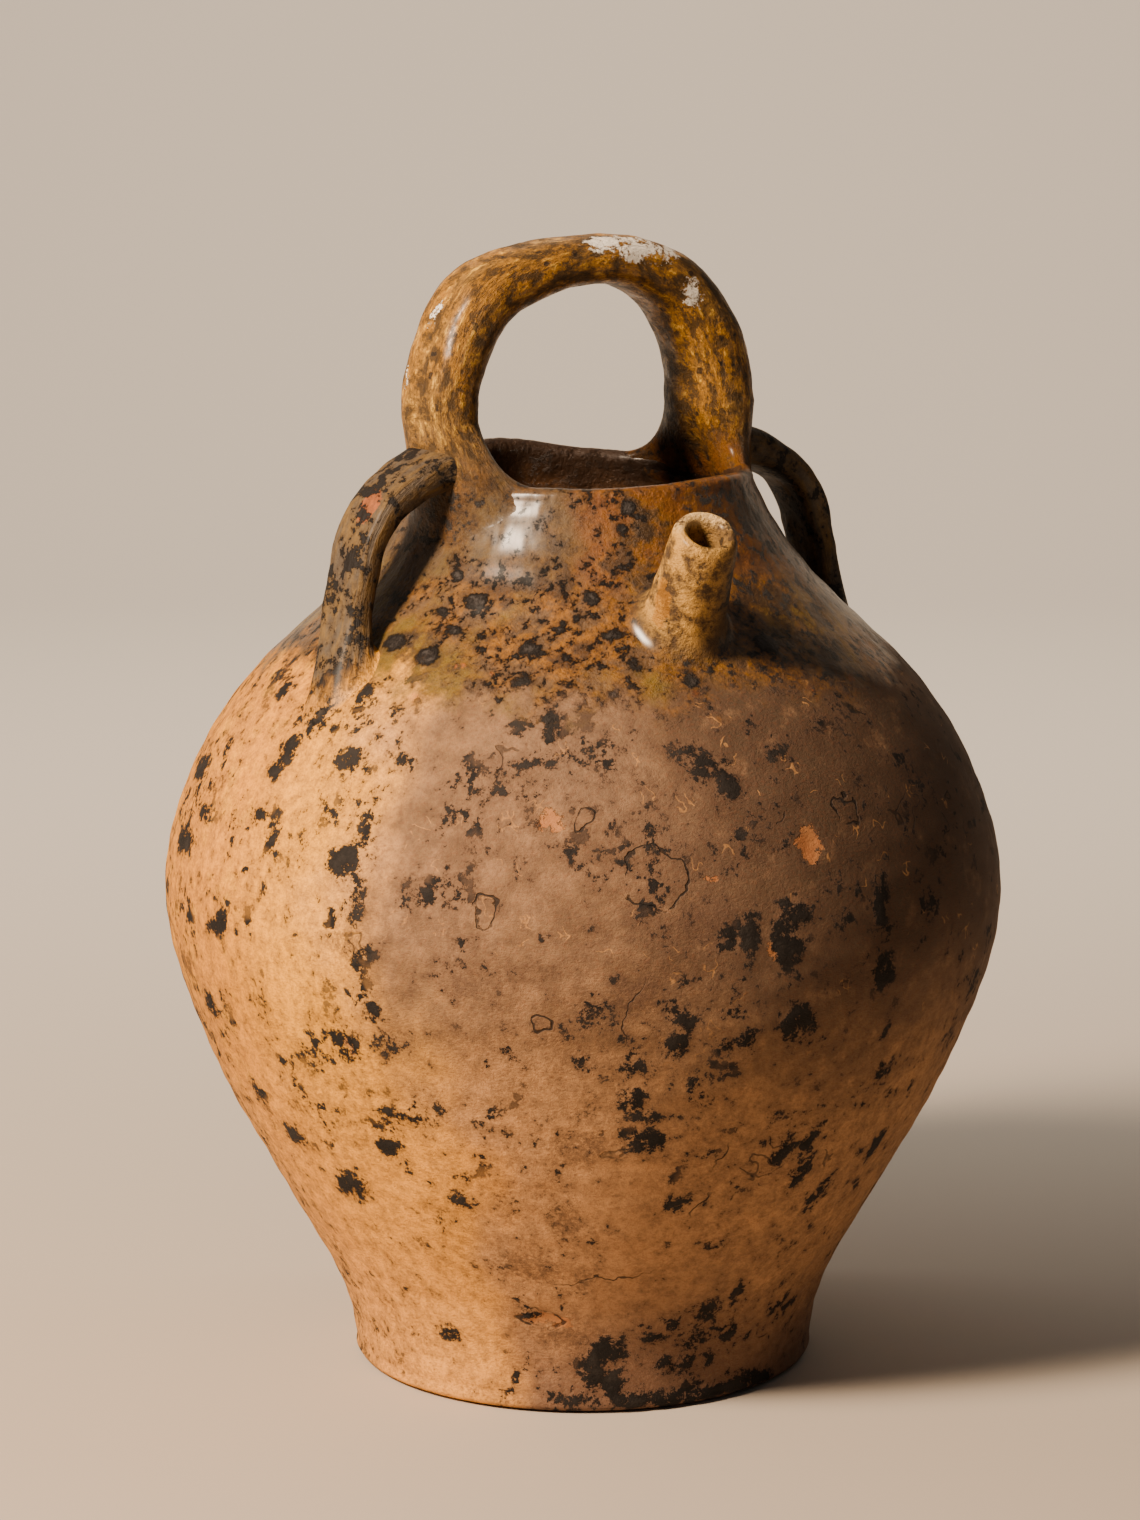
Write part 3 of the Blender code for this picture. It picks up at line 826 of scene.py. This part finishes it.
def on_wall(place, bearing, height, across, up, turn=0):
    """Distance from the middle of an oval that lies on the outside of the body, in its half sizes."""
    bearing = math.radians(bearing)
    spot = body_point(bearing, length_at(height * MM)) / MM
    rise = body_point(bearing, length_at((height + SHORT_RISE) * MM)) / MM - spot
    rise.normalize()
    _, side = plane_at(bearing)
    lean = math.radians(turn)
    first = side * math.cos(lean) + rise * math.sin(lean)
    second = rise * math.cos(lean) - side * math.sin(lean)
    turned = Matrix((first, second, side.cross(rise))).transposed().to_euler()
    return oval_distance(place, spot, (across, up, OVAL_THICKNESS * max(across, up)), turned)


def crack_depth(place):
    """Depth in millimetres inside the nearest crack, below 0 away from it."""
    rings = (CRACK_HALF_WIDTH - abs(on_wall(place, *ring) - 1) * min(ring[2:4]) for ring in RING_CRACKS)
    lines = ((1 - on_wall(place, *line)) * min(line[2:4]) for line in LONG_CRACKS)
    return deepest(itertools.chain(rings, lines))


print("cracks:", len(RING_CRACKS), "rings and", len(LONG_CRACKS), "lines")

# %% [markdown]
# The bare clay fired buff, with a mauve flash over the upper belly. The side that the window lights is
# painted golden and paler, as painted light. The side turned away and the bottom go a duller brown, partly
# smoke and partly painted shade.
# The upper front is darkened by painted shade with some soot. Each zone is a span of bearings with soft ends,
# and noise moves its edges, as flame would.

# %% Bare clay
BUFF = tone(192, 142, 88)
WARM_BUFF = tone(178, 122, 70)
# the golden and pale buffs are painted light for the side the window lights; the browns after them are partly
# smoke and partly painted shade
LIT_GOLDEN_BUFF = tone(226, 148, 18)
LIT_PALE_BUFF = tone(248, 180, 34)
LIT_PALE_LOW = tone(242, 170, 74)
SMOKE_AND_SHADE_BROWN = tone(200, 150, 100)
FOOT_SMOKE_AND_SHADE = tone(106, 80, 68)
FLASH = tone(130, 100, 75)
FLASH_DEEP = tone(100, 75, 52)
FLASH_GREY = tone(114, 92, 74)
# a dark brown laid on the upper front as painted shade, with some soot
SOOT_AND_SHADE_DARK = tone(70, 56, 43)
DIP_LINE = 236
# bearings in degrees: where a zone starts, is full, wanes and ends
LIT_GOLDEN_SIDE = (-165, -115, -46, -30)
LIT_PALE_SIDE = (-95, -70, -56, -44)
SMOKE_AND_SHADE_SIDE = (-68, -44, 100, 150)
SOOT_AND_SHADE_FRONT = (-40, -4, 34, 70)
FLASHED_SIDE = (-65, -57, 100, 150)


def bearing_of(place):
    """Bearing in degrees around the axis, as the landmarks count it."""
    turn = part_of(place, "X").maths("ARCTAN2", part_of(place, "Y") * -1)
    return turn * (180 / math.pi)


def flash_share(place):
    """How far the flame's flash covers a place: on the upper belly, from the front round to the right."""
    drift = (cloud(place, 40, 5, 0.6) - 0.5) * 60
    height = part_of(place, "Z") + drift * 0.8
    bearing = bearing_of(place) + drift * 0.25
    return band(bearing, *FLASHED_SIDE) * ramp(height, 96, 160)


def clay_tint(place, broad, fine, flash):
    """Colour of the fired clay: golden and paler to the left as painted light, smoke and painted shade to the
    right and below, flashed above, and painted shade with soot on the upper front.
    """
    colour = blend(ramp(broad, 0.35, 0.65), BUFF, WARM_BUFF)
    colour = blend(ramp(broad, 0.5, 0.62) * 0.4, colour, FLASH)
    turn = bearing_of(place)
    # painted light: the golden tone covers the side that the window lights
    lit_golden = band(turn, *LIT_GOLDEN_SIDE)
    colour = blend(lit_golden * (0.55 + fine * 0.6), colour, LIT_GOLDEN_BUFF)
    # painted light: a paler band where the window light falls fullest
    lit_pale_band = band(turn, *LIT_PALE_SIDE) * 0.55
    colour = blend(most(ramp(fine, 0.48, 0.7) * lit_golden * 0.5, lit_pale_band), colour, LIT_PALE_BUFF)
    flash_colour = blend(ramp(fine, 0.25, 0.75), FLASH, FLASH_DEEP)
    flash_colour = blend(ramp(broad, 0.52, 0.4) * 0.5, flash_colour, FLASH_GREY)
    height = part_of(place, "Z") + (broad - 0.5) * 90
    bearing = turn + (broad - 0.5) * 70
    # partly smoke and partly painted shade: a duller brown on the side turned from the window and low down
    smoke_and_shade = band(bearing, *SMOKE_AND_SHADE_SIDE)
    colour = blend(most(smoke_and_shade, ramp(height, 90, 20) * 0.5) * (0.65 + fine * 0.5), colour, SMOKE_AND_SHADE_BROWN)
    # partly smoke and partly painted shade: darker towards the foot on the side turned from the window
    colour = blend(ramp(height, 70, 0) * smoke_and_shade * 0.8, colour, FOOT_SMOKE_AND_SHADE)
    # painted light: the lower clay on the lit side is made paler
    colour = blend(ramp(height, 150, 80) * lit_golden * ramp(bearing, -40, -64) * 0.6, colour, LIT_PALE_LOW)
    colour = blend(flash * (0.8 + fine * 0.25), colour, flash_colour)
    # painted shade with some soot: the upper front right of the belly is darkened
    soot_and_shade = band(bearing, *SOOT_AND_SHADE_FRONT) * ramp(fine, 0.18, 0.48)
    return blend(soot_and_shade * (0.35 + ramp(height, 110, 180) * 0.6), colour, SOOT_AND_SHADE_DARK)


print("golden side by bearing:", LIT_GOLDEN_SIDE, "flashed side:", FLASHED_SIDE)

# %% [markdown]
# Burnt crust lies on the clay as ragged islands, where a rough noise rises over a level, with soot around
# them. They crowd in drifts, about the landmarks and far round on the left. One noise cut at a level gives
# flakes of every size at once, which round spots would not. Chips and cracks are laid on under the crust.

# %% Crust on the clay
CRUST = tone(24, 20, 18)
ASH = tone(46, 40, 36)
STAIN = tone(108, 62, 36)
SMUDGE = tone(80, 57, 43)
CHIP = tone(170, 124, 76)
RUST = tone(156, 84, 42)
CROWDED_SIDE = (-150, -130, -100, -88)


def islands(place, size, common, rare, crowd):
    """Depth inside ragged islands where a rough noise rises over a level, which is lower where they crowd."""
    return (cloud(place, size, 7, 0.72) - rare + crowd * (rare - common)) * (3 * size)


def curls(place, size, width, share):
    """Short curved hairlines: pieces of the contour lines of a noise, kept only here and there."""
    field = cloud(place, size, 1)
    keep = spots(place, size * 1.9, size * 0.8, share)
    return ramp(abs(field - 0.5), width, width * 0.4) * ramp(keep, 0, 0.5)


def burnt_crust(place, fine, crumble, burnt):
    """(crust, soot) of the burnt spots: flakes that crowd in drifts, with soot about them."""
    tall = cloud(vector("MULTIPLY", place, (1, 1, 0.5)), 26, 4, 0.6)
    crowd = ramp(tall + (fine - 0.5) * 0.8, 0.36, 0.58)
    crowd = crowd * (0.8 + ramp(part_of(place, "Z"), 90, 150) * 0.2)
    crowd = most(crowd, band(bearing_of(place), *CROWDED_SIDE))
    if burnt is not None:
        crowd = most(crowd, ramp(burnt, -7.5, -1))
    depth = most(
        islands(shifted(place, 7, 3, 9), 11, 0.565, 0.66, crowd),
        islands(place, 4.5, 0.575, 0.665, crowd),
    )
    strength = 0.5 + ramp(cloud(shifted(place, 17, 5, 71), 15, 3), 0.4, 0.54) * 0.5
    if burnt is not None:
        depth = most(depth, burnt + (cloud(place, 5, 6, 0.8) - 0.48) * 18)
        strength = most(strength, ramp(burnt, -4, -1))
    core = ramp(depth, 0, 0.7) * strength
    soot = ramp(depth + (crumble - 0.5) * 4, -4, 1)
    return core, soot * 0.6


def bare_clay(place, burnt=None, chipped=None):
    """(colour, crust, relief) of the unglazed wall, with depths inside landmarks where a piece keeps them."""
    broad = cloud(place, 70, 4)
    fine = cloud(place, 10, 5, 0.65)
    crumble = cloud(place, 1.5, 5, 0.78)
    flash = flash_share(place)
    colour = clay_tint(place, broad, fine, flash)
    grain = cloud(vector("MULTIPLY", place, (1, 1, 1.6)), 1.3, 4, 0.75)
    colour = blend(ramp(grain, 0.44, 0.74) * 0.5, colour, STAIN)
    flakes = curls(warped(place, 4, 1), 5, 0.022, 0.85) * (0.15 + flash * 0.75)
    colour = blend(flakes, colour, CHIP)
    crust, soot = burnt_crust(place, fine, crumble, burnt)
    colour = blend(soot, colour, SMUDGE)
    relief = (crumble - 0.5) * 0.3 + (grain - 0.5) * 0.35 + (fine - 0.5) * 0.45
    if chipped is not None:
        smudge = ramp(kept("smudged") + (crumble - 0.5) * 16, -2, 3)
        colour = blend(smudge * 0.6, colour, SMUDGE)
        chips = ramp(chipped + (cloud(place, 4, 5, 0.7) - 0.47) * 11, 0, 0.6)
        colour = blend(chips * 0.85, colour, blend(fine, CHIP, RUST))
        cracks = crack_depth(warped(place, 14, 9, 3))
        crack = ramp(cracks, 0, 0.3) * ramp(fine, 0.36, 0.48)
        colour = blend(crack * 0.85, colour, CRUST)
        relief = relief - chips * 0.35 - crack * 0.5
    hairs = curls(warped(shifted(place, 31, 57, 13), 6, 2), 13, 0.014, 0.3)
    colour = blend(hairs * 0.6, colour, CRUST)
    colour = blend(crust, colour, blend(ramp(fine, 0.46, 0.64) * 0.6, CRUST, ASH))
    return colour, crust, relief + crust * 0.16 - hairs * 0.3


# %% [markdown]
# The dip is a lead glaze: ochre and amber where it lies thin, brown and olive where it pooled, dull where it
# weathered, with blistered crust baked into it and small rusty blooms along its edge. The dull grey-mauve is
# partly a painted sheen. On the neck it gives way to deep amber on the right, which is partly painted shade.
# Two noises of unlike size share out the colours, and a clear coat over the finish gives the gloss.

# %% Lead glaze
OCHRE = tone(114, 82, 14)
AMBER = tone(156, 99, 2)
BROWN = tone(50, 36, 25)
OLIVE = tone(98, 80, 30)
# grey-mauve, partly weathered glaze and partly a painted sheen; the deep amber after it is partly painted
# shade
DULL_AND_SHEEN = tone(74, 61, 48)
DEEP_AMBER_AND_SHADE = tone(112, 62, 12)
BLOOM = tone(178, 92, 34)
BLISTER = tone(66, 60, 57)
NECK = (256, 276)
BLOOM_REACH = 22
COAT_ROUGHNESS = 0.26
SPECULAR = 0.2


def lead_glaze(place, marks=None):
    """(colour, crust, relief) of the dipped shoulder and neck, with the depth inside landmarks, if any."""
    broad = cloud(place, 34, 4, 0.6)
    other = cloud(shifted(place, 90, 40, 10), 13, 5, 0.65)
    crumble = cloud(place, 1.9, 5, 0.75)
    colour = blend(ramp(broad, 0.4, 0.6), OCHRE, AMBER)
    colour = blend(ramp(other, 0.44, 0.62) * 0.85, colour, BROWN)
    colour = blend(ramp(broad, 0.52, 0.4) * ramp(other, 0.56, 0.4) * 0.7, colour, OLIVE)
    # grey-mauve patches: partly weathered glaze, partly a painted sheen
    colour = blend(ramp(other, 0.54, 0.4) * ramp(broad, 0.4, 0.54) * 0.8, colour, DULL_AND_SHEEN)
    colour = blend(ramp(crumble, 0.5, 0.7) * 0.45, colour, BROWN)
    height = part_of(place, "Z")
    # painted sheen and painted shade on the upper neck: grey-mauve toward the lit left, deep amber toward the
    # right, partly the glaze's own colour
    neck_sheen_and_shade = blend(ramp(bearing_of(place) + (broad - 0.5) * 60, -52, -24), DULL_AND_SHEEN, DEEP_AMBER_AND_SHADE)
    colour = blend(ramp(height, *NECK) * ramp(other, 0.62, 0.44) * 0.75, colour, neck_sheen_and_shade)
    edge = ramp(height, DIP_LINE + BLOOM_REACH, DIP_LINE)
    bloom = spots(warped(place, 5, 2, 4), 7, 2.4, 0.5, 0.1 + edge * 0.9)
    colour = blend(ramp(bloom + (crumble - 0.5) * 4, 0, 0.8) * 0.5, colour, BLOOM)

    swollen = warped(place, 5, 1.3, 3)
    crowd = ramp(broad + (other - 0.5) * 0.6, 0.36, 0.52)
    flakes = islands(place, 4.5, 0.535, 0.63, crowd)
    depth = most(spots(swollen, 9, 3, 0.6, crowd), flakes)
    if marks is not None:
        depth = most(depth, marks + (other - 0.5) * 5)
    depth = depth + (crumble - 0.5) * 4
    crust = ramp(depth, 0, 0.6)
    blister = ramp(depth, 0.5, 1.8)
    colour = blend(ramp(depth, -2.4, 0.4) * 0.6, colour, BROWN)
    colour = blend(crust, colour, CRUST)
    colour = blend(blister * 0.5, colour, BLISTER)
    relief = (crumble - 0.5) * 0.8 + (other - 0.5) * 2 + crust * 0.35 + blister * 0.4
    return colour, crust, relief


def new_finish(name):
    """A material whose nodes the arithmetic writes from here on."""
    finish = bpy.data.materials.new(name)
    finish.use_nodes = True
    Value.tree = finish.node_tree
    return finish


def fire(finish, colour, roughness, coat, relief):
    """Joins the parts of a finish to its shader."""
    shader = finish.node_tree.nodes["Principled BSDF"]
    Value.feed(shader.inputs["Base Color"], colour)
    Value.feed(shader.inputs["Roughness"], roughness)
    Value.feed(shader.inputs["Coat Weight"], coat)
    shader.inputs["Coat Roughness"].default_value = COAT_ROUGHNESS
    shader.inputs["Specular IOR Level"].default_value = SPECULAR
    bump = Value.node("Bump", {"Height": relief, "Distance": MM, "Strength": 1})
    Value.feed(shader.inputs["Normal"], bump)
    print(finish.name, "nodes:", len(finish.node_tree.nodes))
    return finish


# %% [markdown]
# The body wears both: bare clay below and the dip above a wavering line. Inside, a dark wash covers the neck
# and the clay deeper down is raw.

# %% Finish of the body
WASH = tone(46, 31, 20)
RAW_INSIDE = tone(168, 116, 72)
DIP_EDGE = 7
WASH_EDGE = (250, 290)


def inside_share(place):
    """1 on the inside of the jar, where the mesh was marked as it was made."""
    return ramp(kept("inside") + (cloud(place, 4) - 0.5) * 0.3, 0.4, 0.6)


def body_finish():
    finish = new_finish("bare_and_dipped_clay")
    place = jar_place()
    height = part_of(place, "Z")
    clay, clay_crust, clay_relief = bare_clay(place, kept("burnt"), kept("chipped"))
    glaze, glaze_crust, glaze_relief = lead_glaze(place, kept("burnt"))
    waver = (cloud(place, 24, 6, 0.74) - 0.5) * 46
    dip = ramp(height + waver, DIP_LINE - DIP_EDGE, DIP_LINE + DIP_EDGE)
    colour = blend(dip, clay, glaze)
    inside = inside_share(place)
    lining = blend(ramp(height + waver, *WASH_EDGE), RAW_INSIDE, WASH)
    colour = blend(inside, colour, lining)
    crust = clay_crust + dip * (glaze_crust - clay_crust)
    roughness = 0.72 - dip * 0.34 + crust * 0.05
    coat = dip * (1 - crust * 0.6) * 0.5
    relief = clay_relief + dip * (glaze_relief - clay_relief)
    return fire(finish, colour, roughness, coat, relief)


# %% [markdown]
# The basket handle was dipped too, then years of hands wore it gold, and pale paint dripped on its crown. Its
# brightest gold flecks are partly wear and partly painted glints.
# Streaks run along it, the way the clay was pulled, so its noise is stretched along the sweep's own length.

# %% Finish of the basket handle
GOLD = tone(150, 102, 26)
# bright gold, partly wear and partly painted glints
WORN_GOLD_AND_GLINT = tone(232, 180, 64)
UMBER = tone(54, 41, 24)
GREY_WEAR = tone(112, 86, 46)
PAINT = tone(226, 218, 204)
# each dab: its middle and its half sizes in millimetres
PAINT_SPOTS = (
    ((2.5, -9.1, 367.7), (9, 5.5, 5)), ((13, -11, 365.5), (10, 6, 5)),
    ((24, -10.6, 363.4), (6.5, 4, 4)), ((32.9, -14, 350.6), (4, 4, 5)),
    ((-55.2, -0.4, 347.9), (3, 3, 6)), ((-60.6, 6.8, 327.7), (3, 2.4, 4)),
)


def pulled_flow(stretch):
    """Coordinates in millimetres along and around a pulled piece, drawn out along it."""
    flow = Value.node("Attribute", {}, output="Vector", attribute_name="flow")
    return vector("MULTIPLY", flow, (1 / MM / stretch, 1 / MM, 1 / MM))


def dab_depth(place, dabs):
    """Depth in millimetres inside the nearest dab, below 0 outside them."""
    return deepest((1 - oval_distance(place, spot, half)) * min(half) for spot, half in dabs)


def handle_finish():
    finish = new_finish("worn_ochre_glaze")
    place = jar_place()
    streak = cloud(pulled_flow(3), 2, 5, 0.72)
    mottle = cloud(pulled_flow(1.4), 5, 6, 0.74)
    broad = cloud(pulled_flow(2), 18, 4)
    fleck = cloud(pulled_flow(1.6), 1.2, 5, 0.75)
    grit = cloud(place, 1, 3, 0.6)
    colour = blend(ramp(broad, 0.46, 0.62) * 0.6, GOLD, GREY_WEAR)
    colour = blend(ramp(mottle, 0.54, 0.42) * 0.85, colour, UMBER)
    colour = blend(ramp(streak, 0.5, 0.38) * 0.6, colour, UMBER)
    # partly wear and partly painted glints: bright gold where mottle and streak rise together
    colour = blend(ramp(mottle, 0.5, 0.62) * ramp(streak, 0.49, 0.62) * 0.8, colour, WORN_GOLD_AND_GLINT)
    colour = blend(ramp(fleck, 0.54, 0.62) * 0.7, colour, UMBER)
    glaze, _, _ = lead_glaze(place)
    root = ramp(kept("seat") + (mottle - 0.5) * 0.8, 0.02, 0.5)
    colour = blend(root, colour, glaze)
    ragged = warped(warped(place, 5, 2), 1.2, 0.7)
    specks = crumbled(spots(ragged, 5.5, 1.5, 0.5), grit)
    colour = blend(specks * 0.8, colour, CRUST)
    paint = ramp(dab_depth(ragged, PAINT_SPOTS) + (cloud(place, 2.6, 6, 0.8) - 0.56) * 16, 0, 0.5)
    colour = blend(paint, colour, PAINT)
    relief = (streak - 0.5) * 0.9 + (mottle - 0.5) * 1.6 - (fleck - 0.5) * 0.6 + paint * 0.25
    roughness = 0.5 - root * 0.1 + paint * 0.3
    coat = (1 - paint) * (0.12 + ramp(mottle, 0.46, 0.62) * 0.45)
    return fire(finish, colour, roughness, coat, relief)


# %% [markdown]
# The straps were touched less. They keep a dull brown skin, thick black crust and a rusty patch where the
# glaze ran thin on the left one's crest. Both wear one finish, which turns into clay or glaze at the feet.

# %% Finish of the straps
STRAP_MAUVE = tone(80, 70, 58)
STRAP_OCHRE = tone(106, 82, 46)
GLAZED_FOOT = (250, 270)
RUSTY_PATCHES = (((-83, -7, 284), (5, 6, 11)),)


def strap_finish():
    finish = new_finish("spotted_strap_glaze")
    place = jar_place()
    streak = cloud(pulled_flow(4), 4, 5, 0.65)
    grit = cloud(place, 1, 3, 0.6)
    colour = blend(ramp(streak, 0.38, 0.62), STRAP_MAUVE, STRAP_OCHRE)
    ragged = warped(warped(place, 5, 1.8), 1.2, 0.7)
    rusty = crumbled(dab_depth(ragged, RUSTY_PATCHES), streak, 2)
    colour = blend(rusty * 0.8, colour, RUST)
    crowd = ramp(cloud(place, 20, 3), 0.3, 0.5)
    depth = most(islands(place, 11, 0.54, 0.62, crowd), islands(place, 4.5, 0.56, 0.64, crowd))
    crust = ramp(depth, 0, 0.7)
    colour = blend(ramp(depth, -2.6, 0.2) * 0.5, colour, BROWN)
    colour = blend(crust, colour, CRUST)
    clay, _, _ = bare_clay(place)
    glaze, _, _ = lead_glaze(place)
    root = ramp(kept("seat") + (streak - 0.5) * 0.8, 0.3, 0.8)
    foot = blend(ramp(part_of(place, "Z"), *GLAZED_FOOT), clay, glaze)
    colour = blend(root, colour, foot)
    relief = (streak - 0.5) * 1.8 + (grit - 0.5) * 0.3 + crust * 0.5
    return fire(finish, colour, 0.66, 0.05, relief)


# %% [markdown]
# The spout is the palest piece: its glaze has worn to buff, palest on the lip, with an amber run at its left
# foot. Its right side is darkened as painted shade, and crust crowds there.

# %% Finish of the spout
SPOUT_BUFF = tone(188, 142, 68)
SPOUT_PALE = tone(206, 170, 112)
# dark brown, used as mottle and as painted shade on the right side
SPOUT_BROWN_AND_SHADE = tone(72, 53, 32)
WORN_LIP = (286, 288.5)
AMBER_RUNS = (((-28.5, -86, 263), (4, 5, 12)),)


def spout_finish():
    finish = new_finish("worn_spout_glaze")
    place = jar_place()
    drift = cloud(place, 7, 6, 0.74)
    grit = cloud(place, 1, 3, 0.6)
    height = part_of(place, "Z")
    rightwards = part_of(place, "X")
    glaze, _, _ = lead_glaze(place)
    colour = blend(ramp(drift, 0.4, 0.62), SPOUT_BROWN_AND_SHADE, SPOUT_BUFF)
    # painted shade: the right side of the spout is darkened
    shaded = ramp(rightwards + (drift - 0.5) * 20, -17, -7)
    colour = blend(shaded * 0.85, colour, SPOUT_BROWN_AND_SHADE)
    ragged = warped(warped(place, 5, 1.8), 1.2, 0.6)
    run = crumbled(dab_depth(ragged, AMBER_RUNS), drift, 2)
    colour = blend(run * 0.5, colour, AMBER)
    foot = ramp(kept("seat") + (drift - 0.5) * 0.7, 0.3, 0.8)
    colour = blend(foot, colour, glaze)
    worn = ramp(height + (grit - 0.5) * 6, *WORN_LIP)
    colour = blend(worn * ramp(drift, 0.4, 0.52), colour, SPOUT_PALE)
    flakes = ramp(islands(place, 5, 0.5, 0.62, ramp(rightwards, -17, -6)), 0, 0.7)
    colour = blend(flakes * 0.8, colour, CRUST)
    relief = (drift - 0.5) * 2.6 + (grit - 0.5) * 0.3 + flakes * 0.4
    roughness = 0.62 - foot * 0.2
    return fire(finish, colour, roughness, 0.1 + foot * 0.6, relief)


# %% [markdown]
# Each dressed piece takes the place of one solid, rides on the part's only body and wears one finish, and the
# material slot listed for it is printed. The two straps share a slot and a finish, because they are one clay
# and one glaze.

# %% Put every piece in the frame
strap_look = strap_finish()
PIECES = (
    (body, "thrown_body", "body_clay", body_finish()),
    (basket, "basket_handle", "handle_glaze", handle_finish()),
    (left_strap, "left_strap_handle", "strap_glaze", strap_look),
    (right_strap, "right_strap_handle", "strap_glaze", strap_look),
    (spout, "pouring_spout", "spout_glaze", spout_finish()),
)
for piece, node, slot, finish in PIECES:
    piece.data.materials.append(finish)
    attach(piece, "root")
    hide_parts(node)
    print(piece.name, "for", node, "in", slot)

# %% [markdown]
# The photograph looks slightly down at the jar from one side of the spout. A long lens keeps its outline
# nearly parallel, so the same lens and distance give the same outline here.

# %% Camera
IMAGE_TALL = 1520
FOCAL_PIXELS = 4644
SENSOR = 36
VIEW_BEARING = math.radians(-33)
VIEW_TILT = 10.8
VIEW_DISTANCE = 1.522
AXIS_OFFSET_PIXELS = 13
AIM_HEIGHT = 0.1983
aim = UP * AIM_HEIGHT


def seen_from(bearing, tilt, distance):
    """A point at a distance from the aim, by its bearing from the camera's and its tilt in degrees."""
    outward, _ = plane_at(VIEW_BEARING + math.radians(bearing))
    tilt = math.radians(tilt)
    return aim + (outward * math.cos(tilt) + UP * math.sin(tilt)) * distance


def set_facing(name, data, spot, target):
    """An object at a spot, turned to face a target."""
    thing = bpy.data.objects.new(name, data)
    thing.location = spot
    thing.rotation_euler = (target - spot).to_track_quat("-Z", "Y").to_euler()
    bpy.context.scene.collection.objects.link(thing)
    return thing


lens = bpy.data.cameras.new("camera")
lens.sensor_width = SENSOR
lens.lens = FOCAL_PIXELS / IMAGE_TALL * SENSOR
lens.shift_x = -AXIS_OFFSET_PIXELS / IMAGE_TALL
bpy.context.scene.camera = set_facing("camera", lens, seen_from(0, VIEW_TILT, VIEW_DISTANCE), aim)
print("lens in mm:", round(lens.lens, 1))

# %% [markdown]
# A photographer's sweep is one pale sheet that lies on the floor and bends up behind the object, so that no
# line crosses the picture. It lies a hair below the base, to keep the two surfaces apart.

# %% Floor
SWEEP_HALF = 6
SWEEP_FRONT = -4
SWEEP_BACK = 1.6
SWEEP_BEND = 1.2
SWEEP_TOP = 4
BEND_STEPS = 24
FLOOR_GAP = 0.5 * MM
PALE_SHEET = tone(172, 160, 146)
SHEET_ROUGHNESS = 0.9
view_outward, view_across = plane_at(VIEW_BEARING)


def make_sweep():
    """A pale sheet that lies on the floor and bends up behind the jar, square to the camera."""
    bend = arc((SWEEP_BACK, SWEEP_BEND), SWEEP_BEND, -90, 0, BEND_STEPS)
    profile = np.vstack([[[SWEEP_FRONT, 0]], bend, [[SWEEP_BACK + SWEEP_BEND, SWEEP_TOP]]])
    points = []
    for back, height in profile:
        for side in (-SWEEP_HALF, SWEEP_HALF):
            points.append(view_across * side - view_outward * back + UP * (height - FLOOR_GAP))
    faces = [(2 * i, 2 * i + 1, 2 * i + 3, 2 * i + 2) for i in range(len(profile) - 1)]
    return add_mesh_piece("studio_floor", points, faces)


floor = make_sweep()
pale = new_finish("pale_floor")
sheet = pale.node_tree.nodes["Principled BSDF"]
sheet.inputs["Base Color"].default_value = PALE_SHEET
sheet.inputs["Roughness"].default_value = SHEET_ROUGHNESS
floor.data.materials.append(pale)
print("floor faces:", len(floor.data.polygons))

# %% [markdown]
# The photograph is lit by one soft, warm window on the left. One area light is that window, a second washes
# the sheet behind the jar, and a dim world fills the shadows.

# %% Light
WORLD_COLOUR = (0.84, 0.86, 0.9, 1)
WORLD_STRENGTH = 0.11
BACKDROP_HEIGHT = 0.4

world = bpy.data.worlds.new("studio")
bpy.context.scene.world = world
world.use_nodes = True
sky = world.node_tree.nodes["Background"]
sky.inputs["Color"].default_value = WORLD_COLOUR
sky.inputs["Strength"].default_value = WORLD_STRENGTH


def add_light(name, spot, target, size, power, colour):
    """A soft light of a width and a height, at a spot and aimed at a target."""
    data = bpy.data.lights.new(name, "AREA")
    data.shape = "RECTANGLE"
    data.size, data.size_y = size
    data.energy = power
    data.color = colour
    set_facing(name, data, spot, target)
    print(name, "in watts:", power)


backdrop = view_outward * -(SWEEP_BACK + SWEEP_BEND) + UP * BACKDROP_HEIGHT
add_light("window", seen_from(-48, 38, 1.6), aim, (0.28, 0.46), 92, (1, 0.78, 0.57))
add_light("backdrop light", seen_from(180, 62, 1.5), backdrop, (2.4, 0.8), 84, (1, 0.93, 0.84))
